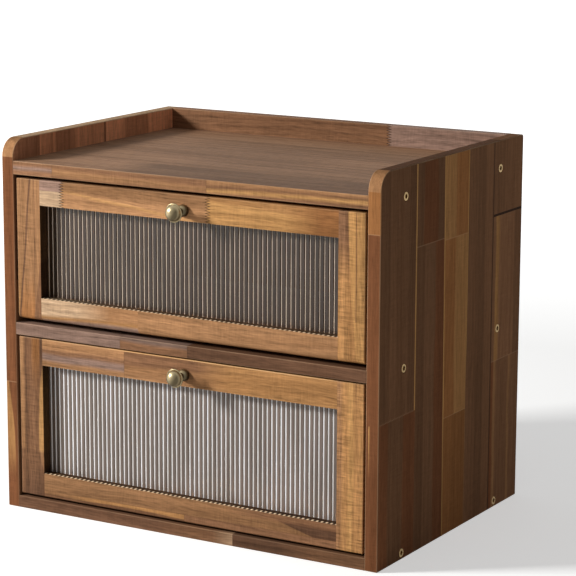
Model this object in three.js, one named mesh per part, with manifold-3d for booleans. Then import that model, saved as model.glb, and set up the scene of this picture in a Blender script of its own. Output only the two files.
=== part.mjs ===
// Two-storey wooden bread box: a drop-front bread bay above a drawer, both with fluted windows.
// Millimetres, +Z up. The origin is the centre of the carcass underside, and the front faces -Y.

import * as THREE from "three";
import { mergeVertices } from "three/addons/utils/BufferGeometryUtils.js";
import Module from "manifold-3d";

const wasm = await Module();
wasm.setup();

// Carcass boards
const boxWidth = 380;
const boxDepth = 270;
const boxHeight = 336;
const sideThickness = 12;
const topThickness = 12;
const shelfThickness = 11;
const bottomThickness = 11;
const backThickness = 12;
const backInset = 1; // back panel in from the rear edges of the sides
const galleryHeight = 19; // sides and back above the top board
const breadBayHeight = 133.5; // clear height between the shelf and the top board
const frontCornerRadius = 16;
const rearCornerRadius = 2.5;

// Clearances
const glueLine = 0.1; // between faces that are glued or clamped together
const fit = 0.3; // round a piece that sits in a cut
const runningFit = 0.25; // between the hinge pins and their holes
const overrun = 2; // how far a cutter runs past the face that it opens
const weldDistance = 0.001; // vertices closer than this are one

// Fronts: a frame of two stiles and two rails round a fluted window
const frontThickness = 16;
const frontRecess = 1; // fronts behind the front edges of the carcass
const frontSideGap = 2.6;
const stileWidth = 25;
const tenonLength = 8;
const tenonWall = 2.2; // wood in front of and behind the tenon, up to the glass
const tenonShoulder = 3; // wood above and below the tenon
const glassSetback = 9.5; // fluted face behind the front face
const glassThickness = 3;
const rebateWidth = 5; // how far the glass and its beads lie behind the frame
const flutePitch = 4.6;
const fluteDepth = 0.9;
const fluteSteps = 4;

// Drop-front door
const doorTopGap = 3;
const doorBottomGap = 3.8;
const doorTopRail = 22.7;
const doorBottomRail = 20.7;
const doorUnderRadius = 5; // round-over that lets the door turn on its pins
const hingeSetback = 9; // pin axis behind the door's front face
const openDoorGap = 0.5; // open door above the shelf
const pinRadius = 2;
const pinInDoor = 10;
const pinCover = 4; // wood of the side panel beyond the end of the pin

// Drawer
const drawerTopGap = 1.4;
const drawerBottomGap = 2.5;
const drawerTopRail = 24.2;
const drawerBottomRail = 21.6;
const drawerUnderRadius = 1.5;
const drawerRearGap = 0.5; // closed drawer box in front of the back panel
const drawerSideThickness = 12;
const drawerHeadroom = 21; // between the sides and the shelf above them
const drawerSideLift = 1; // sides above the lower edge of the front
const drawerBackThickness = 12;
const drawerBackRise = 5.5; // back above the sides, where the stop catches it
const drawerBackSetback = 6;
const drawerRabbet = 7; // how far the sides are let into the front
const housingShare = 1 / 3; // how deep the back sits in the thickness of the sides
const floorThickness = 5;
const floorLift = 6.5; // floor above the lower edge of the front
const floorGroove = 4;
const runnerHeight = 12;
const runnerBiteShare = 1 / 2; // how deep the runner sits in the thickness of the sides
const runnerFrontGap = 2;
const runnerRearGap = 5;
const stopSetback = 31; // stop behind the drawer's front
const stopWidth = 60;
const stopThickness = 10;
const stopOverlap = 4; // stop below the top of the drawer back

// Knobs and their screws
const doorKnobRise = 9.2; // above the window
const drawerKnobRise = 10.6;
const knobLength = 21.5;
const knobHeadRadius = 8.3;
const knobDome = 4.8; // rise of the face in front of the rim
const knobRim = 1.2;
const knobFlare = 2.2; // where the neck widens to the rim
const knobNeckRadius = 3;
const knobBaseRadius = 5.4;
const knobBaseHeight = 6;
const knobBaseRim = 1;
const knobBoreDepth = 10;
const knobScrewRadius = 1.75;
const knobScrewHeadRadius = 3.4;
const knobScrewHeadHeight = 2.5;

// Carcass screws
const screwLength = 40;
const screwRadius = 2.5;
const screwTip = 2;
const screwHeadRadius = 4;
const screwHeadDepth = 3;
const screwSink = 0.2; // head below the face of the board
const socketRadius = 2.2;
const socketDepth = 2.2;
const screwFromFront = 44;
const screwFromRear = 46;
const backScrewInset = 40; // back screws in from the inner faces of the sides

// Magnetic catch of the door
const catchOffset = 48; // to the right of the middle, clear of the knob's screw
const catchWidth = 40;
const catchHeight = 12;
const catchDepth = 16;
const magnetWidth = 26;
const magnetHeight = 6;
const magnetDepth = 6;
const strikeWidth = 30;
const strikeHeight = 8;
const strikeThickness = 1.2;
const strikeDrop = 1.5; // strike plate below the top edge of the door
const smallScrewRadius = 1.4;
const smallScrewHeadRadius = 2.6;
const smallScrewHeadDepth = 1.1;
const catchScrewGrip = 8; // catch screw in the top board
const strikeScrewGrip = 7; // strike screw in the door rail

// How round shapes are divided
const roundSteps = 16;
const knobSteps = 24;
const domeSteps = 5;
const cornerSteps = 8;
const hexSides = 6;

// Planes that several pieces share
const outerX = boxWidth / 2;
const innerX = outerX - sideThickness;
const frontY = -boxDepth / 2;
const rearY = boxDepth / 2;
const backFaceY = rearY - backInset - backThickness;
const topZ = boxHeight - galleryHeight;
const topUndersideZ = topZ - topThickness;
const shelfZ = topUndersideZ - breadBayHeight;
const shelfUndersideZ = shelfZ - shelfThickness;

// Both fronts, measured from the lower edge and the front face of each
const frontFaceY = frontY + frontRecess;
const frontBackY = frontFaceY + frontThickness;
const frontHalf = innerX - frontSideGap;
const windowHalf = frontHalf - stileWidth;
const doorZ = shelfZ + doorBottomGap;
const doorHeight = topUndersideZ - doorTopGap - doorZ;
const drawerZ = bottomThickness + drawerBottomGap;
const drawerHeight = shelfUndersideZ - drawerTopGap - drawerZ;
const pocketHalf = windowHalf + rebateWidth;
const glassFaceY = glassSetback + glueLine;
const beadFaceY = glassFaceY + glassThickness + glueLine;

// The open door lies flat on the shelf's front edge, so the pin height follows from the setback
const hingeZ = shelfZ + openDoorGap + hingeSetback;
const pinInSide = sideThickness - pinCover;

// The drawer box, from the drawer's lower edge, and its runners half-way up its sides
const drawerSideHeight = shelfUndersideZ - drawerHeadroom - drawerZ - drawerSideLift;
const runnerBite = drawerSideThickness * runnerBiteShare;
const runnerLift = (drawerSideHeight - runnerHeight) / 2;
const drawerRearY = backFaceY - drawerRearGap;
const drawerBackY = drawerRearY - drawerBackSetback - drawerBackThickness;
const drawerBackTop = drawerSideLift + drawerSideHeight + drawerBackRise;

const paint = {
  side: new THREE.MeshStandardMaterial({ color: 0x4f3526, roughness: 0.55 }),
  top: new THREE.MeshStandardMaterial({ color: 0x6e4a34, roughness: 0.5 }),
  shelf: new THREE.MeshStandardMaterial({ color: 0x72503d, roughness: 0.55 }),
  back: new THREE.MeshStandardMaterial({ color: 0x5a3d2c, roughness: 0.6 }),
  frame: new THREE.MeshStandardMaterial({ color: 0xa0703f, roughness: 0.5 }),
  drawerBox: new THREE.MeshStandardMaterial({ color: 0x9a6f47, roughness: 0.6 }),
  glass: new THREE.MeshStandardMaterial({
    color: 0xdfe3e2,
    roughness: 0.08,
    transparent: true,
    opacity: 0.35,
  }),
  brass: new THREE.MeshStandardMaterial({ color: 0x9c8a5c, roughness: 0.35, metalness: 1 }),
  bronze: new THREE.MeshStandardMaterial({ color: 0x8d7442, roughness: 0.4, metalness: 1 }),
  steel: new THREE.MeshStandardMaterial({ color: 0xb4b4b2, roughness: 0.35, metalness: 1 }),
  plastic: new THREE.MeshStandardMaterial({ color: 0x5b4433, roughness: 0.5 }),
  magnet: new THREE.MeshStandardMaterial({ color: 0x2c2c2e, roughness: 0.6 }),
};

function mesh(name, geometry, material, place = [0, 0, 0]) {
  const made = new THREE.Mesh(geometry, material.clone());
  made.name = name;
  made.position.set(...place);
  return made;
}

// A box between two corners, each [x, y, z]
function block(low, high) {
  const size = high.map((value, i) => value - low[i]);
  const middle = high.map((value, i) => (value + low[i]) / 2);
  return new THREE.BoxGeometry(...size).translate(...middle);
}

// A closed solid of revolution about the local Y axis; points are [radius, distance along Y]
function turned(points, steps) {
  const profile = points.map(([radius, along]) => new THREE.Vector2(radius, along));
  return new THREE.LatheGeometry(profile, steps);
}

// A round bar from one distance along Y to another
function bar(radius, from, to, steps = roundSteps) {
  return turned([[0, from], [radius, from], [radius, to], [0, to]], steps);
}

function solid(geometry) {
  const bare = new THREE.BufferGeometry();
  bare.setAttribute("position", geometry.getAttribute("position"));
  if (geometry.index) bare.setIndex(geometry.index);
  const merged = mergeVertices(bare, weldDistance);
  return new wasm.Manifold(
    new wasm.Mesh({
      numProp: 3,
      vertProperties: merged.attributes.position.array,
      triVerts: new Uint32Array(merged.index.array),
    }),
  );
}

function geometryOf(manifold) {
  const found = manifold.getMesh();
  const made = new THREE.BufferGeometry();
  made.setAttribute("position", new THREE.BufferAttribute(found.vertProperties, 3));
  made.setIndex(new THREE.BufferAttribute(found.triVerts, 1));
  const flat = made.toNonIndexed();
  flat.computeVertexNormals();
  return flat;
}

function cut(geometry, cutters) {
  let left = solid(geometry);
  for (const cutter of cutters) left = left.subtract(solid(cutter));
  return geometryOf(left);
}

function join(...geometries) {
  return geometryOf(geometries.map(solid).reduce((whole, next) => whole.add(next)));
}

// A box between two corners, larger by a clearance all round
function roomFor(low, high, clearance = fit) {
  return block(
    low.map((value) => value - clearance),
    high.map((value) => value + clearance),
  );
}

// Turned shapes lie along Y; these lay them along X or Z
const alongX = (geometry, sign) => geometry.rotateZ((-sign * Math.PI) / 2);
const alongZ = (geometry) => geometry.rotateX(Math.PI / 2);

// Carcass screws: sunk head with a hexagon socket, drawn from the outer face of the board inwards
function screwGeometry() {
  const neck = screwSink + screwHeadDepth;
  const body = turned(
    [
      [0, screwSink],
      [screwHeadRadius, screwSink],
      [screwRadius, neck],
      [screwRadius, screwLength - screwTip],
      [0, screwLength],
    ],
    roundSteps,
  );
  const socket = bar(socketRadius, screwSink - overrun, screwSink + socketDepth, hexSides);
  return cut(body, [socket]);
}

// The hole for a carcass screw, from beyond the outer face to past the screw's tip
function screwHole() {
  const neck = screwSink + screwHeadDepth;
  const mouth = screwHeadRadius + fit;
  return turned(
    [
      [0, -overrun],
      [mouth, -overrun],
      [mouth, screwSink],
      [screwRadius + fit, neck],
      [screwRadius + fit, screwLength + fit],
      [0, screwLength + fit],
    ],
    roundSteps,
  );
}

const boardLevels = {
  top: topZ - topThickness / 2,
  middle: shelfZ - shelfThickness / 2,
  bottom: bottomThickness / 2,
};
const screwColumns = { front: frontY + screwFromFront, rear: rearY - screwFromRear };
const sideSigns = { left: -1, right: 1 };

// Every carcass screw: its name, the point where it enters, and how it is turned
function carcassScrews() {
  const found = [];
  for (const [level, z] of Object.entries(boardLevels)) {
    for (const [side, sign] of Object.entries(sideSigns)) {
      for (const [column, y] of Object.entries(screwColumns)) {
        found.push({
          name: `side_screw_${side}_${level}_${column}`,
          board: level,
          panel: side,
          place: [sign * outerX, y, z],
          turn: (geometry) => alongX(geometry, -sign),
        });
      }
      found.push({
        name: `back_screw_${level}_${side}`,
        board: level,
        panel: "back",
        place: [sign * (innerX - backScrewInset), rearY - backInset, z],
        turn: (geometry) => geometry.rotateX(Math.PI),
      });
    }
  }
  return found;
}

const screws = carcassScrews();
const holesFor = (test) =>
  screws.filter(test).map((one) => one.turn(screwHole()).translate(...one.place));

// Side panel: drawn in the plane of depth and height, then given its thickness along X
function sidePanel(side, sign) {
  const outline = new THREE.Shape();
  outline.moveTo(frontY, 0);
  outline.lineTo(rearY, 0);
  outline.lineTo(rearY, boxHeight - rearCornerRadius);
  outline.absarc(
    rearY - rearCornerRadius,
    boxHeight - rearCornerRadius,
    rearCornerRadius,
    0,
    Math.PI / 2,
  );
  outline.absarc(
    frontY + frontCornerRadius,
    boxHeight - frontCornerRadius,
    frontCornerRadius,
    Math.PI / 2,
    Math.PI,
  );
  outline.closePath();
  const panel = new THREE.ExtrudeGeometry(outline, {
    depth: sideThickness,
    bevelEnabled: false,
    curveSegments: cornerSteps,
  });
  panel.rotateY(Math.PI / 2).rotateX(Math.PI / 2);
  panel.translate(sign > 0 ? innerX : -outerX, 0, 0);
  const pinHole = bar(pinRadius + runningFit, -overrun, pinInSide + fit);
  alongX(pinHole, sign).translate(sign * innerX, frontFaceY + hingeSetback, hingeZ);
  return cut(panel, [...holesFor((one) => one.panel === side), pinHole]);
}

// A board that runs between the side panels, from the front edge to the back panel
function board(level, low, high, extraHoles = []) {
  const half = innerX - glueLine;
  const shape = block([-half, frontY, low], [half, backFaceY - glueLine, high]);
  return cut(shape, [...holesFor((one) => one.board === level), ...extraHoles]);
}

function backPanel() {
  const half = innerX - glueLine;
  const shape = block([-half, backFaceY, 0], [half, rearY - backInset, boxHeight]);
  return cut(shape, holesFor((one) => one.panel === "back"));
}

function hingePin(side, sign) {
  const geometry = bar(pinRadius, -pinInSide, frontSideGap + pinInDoor);
  const place = [sign * innerX, frontFaceY + hingeSetback, hingeZ];
  return mesh(`hinge_pin_${side}`, alongX(geometry, -sign), paint.steel, place);
}

// The strip that carries one side of the drawer, fixed to the side panel
function drawerRunner(side, sign) {
  const reach = frontSideGap + runnerBite;
  const low = drawerZ + drawerSideLift + runnerLift;
  const near = innerX - reach;
  const far = innerX - glueLine;
  const shape = block(
    [Math.min(sign * near, sign * far), frontBackY + runnerFrontGap, low],
    [Math.max(sign * near, sign * far), backFaceY - runnerRearGap, low + runnerHeight],
  );
  return mesh(`drawer_runner_${side}`, shape, paint.drawerBox);
}

// Screws of the catch and its strike plate: sunk head first, then the shank along +Y
function smallScrew(length) {
  return turned(
    [
      [0, 0],
      [smallScrewHeadRadius, 0],
      [smallScrewRadius, smallScrewHeadDepth],
      [smallScrewRadius, length - smallScrewRadius],
      [0, length],
    ],
    roundSteps,
  );
}

function smallScrewHole(length) {
  return turned(
    [
      [0, -overrun],
      [smallScrewHeadRadius + fit, -overrun],
      [smallScrewHeadRadius + fit, 0],
      [smallScrewRadius + fit, smallScrewHeadDepth],
      [smallScrewRadius + fit, length + fit],
      [0, length + fit],
    ],
    roundSteps,
  );
}

// The catch hangs under the top board, and its screw enters from below near its rear
const catchFaceY = frontBackY + glueLine + strikeThickness + fit;
const catchTop = topUndersideZ - glueLine;
const catchScrewY = catchFaceY + (catchDepth + magnetDepth) / 2;
const catchScrewPlace = [catchOffset, catchScrewY, catchTop - catchHeight];
const catchScrewLength = catchHeight + catchScrewGrip;
const catchScrewHole = () =>
  alongZ(smallScrewHole(catchScrewLength)).translate(...catchScrewPlace);

function magneticCatch() {
  const low = catchTop - catchHeight;
  const middle = catchTop - catchHeight / 2;
  const shape = block(
    [catchOffset - catchWidth / 2, catchFaceY, low],
    [catchOffset + catchWidth / 2, catchFaceY + catchDepth, catchTop],
  );
  const magnetBack = catchFaceY + magnetDepth;
  const magnetLow = [catchOffset - magnetWidth / 2, catchFaceY, middle - magnetHeight / 2];
  const magnetHigh = [catchOffset + magnetWidth / 2, magnetBack, middle + magnetHeight / 2];
  return [
    mesh("catch_case", cut(shape, [roomFor(magnetLow, magnetHigh), catchScrewHole()]), paint.plastic),
    mesh("catch_magnet", block(magnetLow, magnetHigh), paint.magnet),
    mesh("catch_screw", alongZ(smallScrew(catchScrewLength)), paint.steel, catchScrewPlace),
  ];
}

// The block under the shelf that the drawer's back meets when the drawer is fully open
function drawerStop() {
  const front = frontBackY + stopSetback;
  const shape = block(
    [-stopWidth / 2, front, drawerZ + drawerBackTop - stopOverlap],
    [stopWidth / 2, front + stopThickness, shelfUndersideZ - glueLine],
  );
  return mesh("drawer_stop", shape, paint.drawerBox);
}

function carcass() {
  const group = new THREE.Group();
  for (const [side, sign] of Object.entries(sideSigns)) {
    group.add(mesh(`${side}_side`, sidePanel(side, sign), paint.side));
    group.add(hingePin(side, sign));
    group.add(drawerRunner(side, sign));
  }
  group.add(mesh("top_board", board("top", topUndersideZ, topZ, [catchScrewHole()]), paint.top));
  group.add(mesh("middle_shelf", board("middle", shelfUndersideZ, shelfZ), paint.shelf));
  group.add(mesh("bottom_board", board("bottom", 0, bottomThickness), paint.shelf));
  group.add(mesh("back_panel", backPanel(), paint.back));
  for (const one of screws) {
    group.add(mesh(one.name, one.turn(screwGeometry()), paint.bronze, one.place));
  }
  group.add(...magneticCatch(), drawerStop());
  return group;
}

// What is left outside a quarter round of the lower front edge
function underCutter(radius) {
  const corner = block(
    [-frontHalf - overrun, -overrun, -overrun],
    [frontHalf + overrun, radius, radius],
  );
  const reach = frontHalf + 2 * overrun;
  const round = alongX(bar(radius, -reach, reach, 4 * cornerSteps), 1).translate(0, radius, radius);
  return cut(corner, [round]);
}

// The fluted sheet: half-round ribs across the width, drawn from above and given its height
function flutedSheet(half, height) {
  const count = Math.floor((2 * half) / flutePitch);
  const start = (-count * flutePitch) / 2;
  const valley = fluteDepth;
  const outline = new THREE.Shape();
  outline.moveTo(-half, glassThickness);
  outline.lineTo(-half, valley);
  outline.lineTo(start, valley);
  for (let rib = 0; rib < count; rib += 1) {
    for (let step = 1; step <= fluteSteps; step += 1) {
      const share = step / fluteSteps;
      const rise = Math.sin(share * Math.PI);
      outline.lineTo(start + (rib + share) * flutePitch, valley - fluteDepth * rise);
    }
  }
  outline.lineTo(half, valley);
  outline.lineTo(half, glassThickness);
  outline.closePath();
  return new THREE.ExtrudeGeometry(outline, { depth: height, bevelEnabled: false });
}

// Knob with its base, neck and mushroom head, turned from the face of the rail outwards
function knobGeometry() {
  const rimFront = knobLength - knobDome;
  const rimBack = rimFront - knobRim;
  const headBack = rimBack - knobFlare;
  const points = [[0, knobLength]];
  for (let step = 1; step <= domeSteps; step += 1) {
    const angle = (step / domeSteps) * (Math.PI / 2);
    const rise = knobDome * Math.cos(angle);
    points.push([knobHeadRadius * Math.sin(angle), rimFront + rise]);
  }
  points.push([knobHeadRadius, rimBack]);
  for (let step = 1; step <= domeSteps; step += 1) {
    const angle = (step / domeSteps) * (Math.PI / 2);
    const radius = knobNeckRadius + (knobHeadRadius - knobNeckRadius) * (1 - Math.sin(angle));
    points.push([radius, headBack + knobFlare * Math.cos(angle)]);
  }
  for (let step = 0; step <= domeSteps; step += 1) {
    const angle = (step / domeSteps) * (Math.PI / 2);
    const radius = knobNeckRadius + (knobBaseRadius - knobNeckRadius) * Math.sin(angle);
    points.push([radius, knobBaseRim + (knobBaseHeight - knobBaseRim) * Math.cos(angle)]);
  }
  points.push([knobBaseRadius, 0]);
  points.push([knobScrewRadius + fit, 0]);
  points.push([knobScrewRadius + fit, knobBoreDepth]);
  points.push([0, knobBoreDepth]);
  return turned(points.reverse(), knobSteps).rotateX(Math.PI);
}

// The screw that holds the knob: pan head behind the rail, shank forward into the knob
function knobScrewGeometry() {
  const tip = -(knobBoreDepth - knobScrewRadius);
  const seat = frontThickness + glueLine;
  return turned(
    [
      [0, tip],
      [knobScrewRadius, tip],
      [knobScrewRadius, seat],
      [knobScrewHeadRadius, seat],
      [knobScrewHeadRadius, seat + knobScrewHeadHeight / 2],
      [knobScrewHeadRadius - knobScrewHeadHeight / 2, seat + knobScrewHeadHeight],
      [0, seat + knobScrewHeadHeight],
    ],
    roundSteps,
  );
}

// Stiles, rails, window, beads, knob and screw of one front. x is across, y runs back from the
// front face and z up from the lower edge. The cutters open its grooves, rabbets and holes.
function windowFront(prefix, spec) {
  const { height, topRail, bottomRail, knobRise, underRadius, cutters } = spec;
  const windowLow = bottomRail;
  const windowHigh = height - topRail;
  const pocket = block(
    [-pocketHalf, glassSetback, windowLow - rebateWidth],
    [pocketHalf, frontThickness + overrun, windowHigh + rebateWidth],
  );
  const knobZ = windowHigh + knobRise;
  const knobHole = bar(knobScrewRadius + fit, -overrun, frontThickness + overrun).translate(0, 0, knobZ);
  const shared = [pocket, underCutter(underRadius), knobHole, ...cutters];

  const railSpans = { top: [windowHigh, height], bottom: [0, windowLow] };
  const tenonOf = ([low, high], reach) => [
    [-reach, tenonWall, low + tenonShoulder],
    [reach, glassSetback - tenonWall, high - tenonShoulder],
  ];
  const tenonReach = windowHalf + tenonLength;
  const mortises = Object.values(railSpans).map((span) => roomFor(...tenonOf(span, tenonReach)));

  const pieces = [];
  for (const [side, sign] of Object.entries(sideSigns)) {
    const low = [sign > 0 ? windowHalf : -frontHalf, 0, 0];
    const high = [sign > 0 ? frontHalf : -windowHalf, frontThickness, height];
    const stile = cut(block(low, high), [...shared, ...mortises]);
    pieces.push(mesh(`${prefix}_stile_${side}`, stile, paint.frame));
  }
  const railHalf = windowHalf - glueLine;
  for (const [level, span] of Object.entries(railSpans)) {
    const rail = block([-railHalf, 0, span[0]], [railHalf, frontThickness, span[1]]);
    const whole = join(rail, block(...tenonOf(span, tenonReach)));
    pieces.push(mesh(`${prefix}_rail_${level}`, cut(whole, shared), paint.frame));
  }

  const glassLow = windowLow - rebateWidth + fit;
  const glassHigh = windowHigh + rebateWidth - fit;
  const sheet = flutedSheet(pocketHalf - fit, glassHigh - glassLow);
  pieces.push(mesh(`${prefix}_window`, sheet, paint.glass, [0, glassFaceY, glassLow]));

  const beadHalf = pocketHalf - fit;
  const beads = {
    top: [[-beadHalf, windowHigh], [beadHalf, glassHigh]],
    bottom: [[-beadHalf, glassLow], [beadHalf, windowLow]],
    left: [[-beadHalf, windowLow + glueLine], [-windowHalf, windowHigh - glueLine]],
    right: [[windowHalf, windowLow + glueLine], [beadHalf, windowHigh - glueLine]],
  };
  for (const [side, [low, high]] of Object.entries(beads)) {
    const shape = block([low[0], beadFaceY, low[1]], [high[0], frontThickness, high[1]]);
    pieces.push(mesh(`${prefix}_bead_${side}`, shape, paint.frame));
  }

  pieces.push(mesh(`${prefix}_knob`, knobGeometry(), paint.brass, [0, -glueLine, knobZ]));
  pieces.push(mesh(`${prefix}_knob_screw`, knobScrewGeometry(), paint.steel, [0, 0, knobZ]));
  return pieces;
}

// Drop-front door: its group stands at the lower edge of the closed door
function door() {
  const group = new THREE.Group();
  group.position.set(0, frontFaceY, doorZ);
  const pinHoles = Object.values(sideSigns).map((sign) => {
    const hole = bar(pinRadius + runningFit, -overrun, pinInDoor + fit);
    return alongX(hole, -sign).translate(sign * frontHalf, hingeSetback, hingeZ - doorZ);
  });
  const strikeTop = doorHeight - strikeDrop;
  const strikeMiddle = strikeTop - strikeHeight / 2;
  const strikeFace = frontThickness + glueLine + strikeThickness;
  const strikeScrewLength = strikeThickness + strikeScrewGrip;
  const strikeHole = smallScrewHole(strikeScrewLength).rotateX(Math.PI);
  strikeHole.translate(catchOffset, strikeFace, strikeMiddle);
  group.add(
    ...windowFront("door", {
      height: doorHeight,
      topRail: doorTopRail,
      bottomRail: doorBottomRail,
      knobRise: doorKnobRise,
      underRadius: doorUnderRadius,
      cutters: [...pinHoles, strikeHole],
    }),
  );
  const plate = block(
    [catchOffset - strikeWidth / 2, frontThickness + glueLine, strikeTop - strikeHeight],
    [catchOffset + strikeWidth / 2, strikeFace, strikeTop],
  );
  group.add(mesh("door_strike_plate", cut(plate, [strikeHole]), paint.steel));
  const strikeScrew = smallScrew(strikeScrewLength).rotateX(Math.PI);
  const strikePlace = [catchOffset, strikeFace, strikeMiddle];
  group.add(mesh("door_strike_screw", strikeScrew, paint.steel, strikePlace));
  return group;
}

// Drawer: its group stands at the lower edge of the closed front
function drawer() {
  const group = new THREE.Group();
  group.position.set(0, frontFaceY, drawerZ);
  const rear = drawerRearY - frontFaceY;
  const backFront = drawerBackY - frontFaceY;
  const backRear = backFront + drawerBackThickness;
  const sideInner = frontHalf - drawerSideThickness;
  const sideTop = drawerSideLift + drawerSideHeight;
  const sideFront = frontThickness - drawerRabbet;

  const floorHalf = sideInner + floorGroove - fit;
  const floorLow = [-floorHalf, frontThickness - floorGroove + fit, floorLift];
  const floorHigh = [floorHalf, backFront + floorGroove - fit, floorLift + floorThickness];
  const floorRoom = roomFor(floorLow, floorHigh);

  const backHalf = sideInner + drawerSideThickness * housingShare - fit;
  const backLow = [-backHalf, backFront, drawerSideLift];
  const backHigh = [backHalf, backRear, drawerBackTop];
  const backRoom = roomFor(backLow, backHigh);

  const sideRooms = [];
  const sides = [];
  for (const [side, sign] of Object.entries(sideSigns)) {
    const low = [sign > 0 ? sideInner : -frontHalf, sideFront + glueLine, drawerSideLift];
    const high = [sign > 0 ? frontHalf : -sideInner, rear, sideTop];
    sideRooms.push(
      block(
        [sign > 0 ? sideInner - fit : -frontHalf - overrun, sideFront, drawerSideLift - fit],
        [sign > 0 ? frontHalf + overrun : -sideInner + fit, frontThickness + overrun, sideTop + fit],
      ),
    );
    const grooveLow = drawerSideLift + runnerLift - fit;
    const grooveHigh = grooveLow + runnerHeight + 2 * fit;
    const grooveInner = frontHalf - runnerBite - fit;
    const groove = block(
      [sign > 0 ? grooveInner : -frontHalf - overrun, sideFront - overrun, grooveLow],
      [sign > 0 ? frontHalf + overrun : -grooveInner, rear + overrun, grooveHigh],
    );
    const shape = cut(block(low, high), [groove, floorRoom, backRoom]);
    sides.push(mesh(`drawer_side_${side}`, shape, paint.drawerBox));
  }

  group.add(
    ...windowFront("drawer", {
      height: drawerHeight,
      topRail: drawerTopRail,
      bottomRail: drawerBottomRail,
      knobRise: drawerKnobRise,
      underRadius: drawerUnderRadius,
      cutters: [floorRoom, ...sideRooms],
    }),
  );
  group.add(...sides);
  group.add(mesh("drawer_back", cut(block(backLow, backHigh), [floorRoom]), paint.drawerBox));
  group.add(mesh("drawer_floor", block(floorLow, floorHigh), paint.drawerBox));
  return group;
}

const breadBox = new THREE.Group();
breadBox.name = "bread_box_with_drawer";
breadBox.add(carcass(), door(), drawer());

export default breadBox;
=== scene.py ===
"""A wooden bread box: a drop-front door over a drawer, both with a fluted window and a brass knob.

Laid out as an add-on. Sizes and colours sit in property groups, each group of like pieces has an
operator, and a panel in the 3D view's sidebar lists them. Lengths are in metres and the box faces
-Y, with X to the right and Z up. Boards are laid out in millimetres, in the same directions.
"""

import itertools
import math

import bmesh
import bpy
from bpy.props import FloatProperty, FloatVectorProperty, IntProperty, PointerProperty
from mathutils import Matrix, Vector


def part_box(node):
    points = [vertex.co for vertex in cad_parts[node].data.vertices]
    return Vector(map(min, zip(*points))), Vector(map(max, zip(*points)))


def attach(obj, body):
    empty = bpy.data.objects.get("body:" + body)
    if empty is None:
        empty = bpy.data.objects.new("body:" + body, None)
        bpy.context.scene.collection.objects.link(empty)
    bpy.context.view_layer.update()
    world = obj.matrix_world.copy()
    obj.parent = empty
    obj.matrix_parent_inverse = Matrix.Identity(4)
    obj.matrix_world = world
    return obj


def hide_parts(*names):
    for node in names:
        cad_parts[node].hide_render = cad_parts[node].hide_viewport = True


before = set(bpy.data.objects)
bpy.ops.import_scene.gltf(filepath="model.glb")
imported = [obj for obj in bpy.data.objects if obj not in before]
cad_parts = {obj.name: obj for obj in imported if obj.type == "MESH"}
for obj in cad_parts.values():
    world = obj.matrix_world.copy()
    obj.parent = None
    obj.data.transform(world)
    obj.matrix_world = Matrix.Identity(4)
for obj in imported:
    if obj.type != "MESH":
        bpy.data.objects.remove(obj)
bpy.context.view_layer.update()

bl_info = {
    "name": "Bread box with drawer",
    "version": (1, 0, 0),
    "blender": (4, 5, 0),
    "location": "View3D > Sidebar > Bread box",
    "description": "Models a wooden bread box with a drop-front door and a drawer",
    "category": "Add Mesh",
}

MM = 0.001
# Two places nearer to each other than this are one
SAME_PLACE = 1e-5
# How far a cutter reaches past the face that it cuts
CUT_PAST = 2 * MM
# A face whose normal has a part above this along an axis is square to that axis
SQUARE = 0.99
# An edge between faces that meet at more than this angle is a corner of the board
CORNER_ANGLE = math.radians(60)
# Facets in a rubbed arris, and round a drilled hole or a small pin or screw
ARRIS_STEPS = 2
HOLE_STEPS = 24
SMALL_STEPS = 32
# How many degrees an edge may turn and still be shaded smooth
SMOOTH_UNDER = {"wood": 20, "sheet": 30, "pin": 30, "screw": 35, "catch": 35, "knob": 40}
X_AXIS = Vector((1, 0, 0))
Y_AXIS = Vector((0, 1, 0))
Z_AXIS = Vector((0, 0, 1))
AXES = {"x": 0, "y": 1, "z": 2}


def from_255(red, green, blue):
    """A display colour, from 0 to 1, out of the usual numbers up to 255."""
    return (red / 255, green / 255, blue / 255)


def linear(colour, lift=1.0):
    """A display colour as the shader needs it, made lighter or darker by lift."""
    found = []
    for value in colour:
        low = value / 12.92
        high = ((value + 0.055) / 1.055) ** 2.4
        found.append(min(1.0, lift * (low if value <= 0.04045 else high)))
    return (*found, 1.0)


def colour_setting(name, description, default):
    return FloatVectorProperty(
        name=name,
        description=description,
        subtype="COLOR_GAMMA",
        size=3,
        min=0.0,
        max=1.0,
        default=from_255(*default),
    )


def length_setting(name, description, default):
    return FloatProperty(
        name=name,
        description=description,
        subtype="DISTANCE",
        unit="LENGTH",
        min=0.0,
        default=default,
    )


def share_setting(name, description, default):
    return FloatProperty(
        name=name, description=description, subtype="FACTOR", min=0.0, max=1.0, default=default
    )


class WoodColours(bpy.types.PropertyGroup):
    """The tones that the staves are picked from"""

    sapwood: colour_setting("Sapwood", "Palest staves and sapwood edges", (205, 172, 138))
    cedar: colour_setting("Cedar", "Pale reddish staves", (216, 152, 114))
    honey: colour_setting("Honey", "Bright golden staves", (190, 143, 90))
    gold: colour_setting("Gold", "Golden brown staves", (172, 126, 80))
    tan: colour_setting("Tan", "Plain light brown staves", (158, 116, 80))
    amber: colour_setting("Amber", "Orange brown staves", (150, 102, 62))
    rust: colour_setting("Rust", "Reddish brown staves", (124, 80, 53))
    umber: colour_setting("Umber", "Middle brown staves", (128, 92, 66))
    ash: colour_setting("Ash", "Greyish brown staves", (130, 105, 92))
    dust: colour_setting("Dust", "Dusty brown of the top", (150, 116, 90))
    walnut: colour_setting("Walnut", "Dark brown staves", (98, 70, 52))
    bark: colour_setting("Bark", "Darkest streaks and glue lines", (66, 47, 36))
    # This pale tone serves the joint lines, the wear of the arrises and a painted highlight on them
    worn_and_highlight: colour_setting("Worn", "Pale joint lines and worn arrises", (226, 190, 150))


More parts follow.
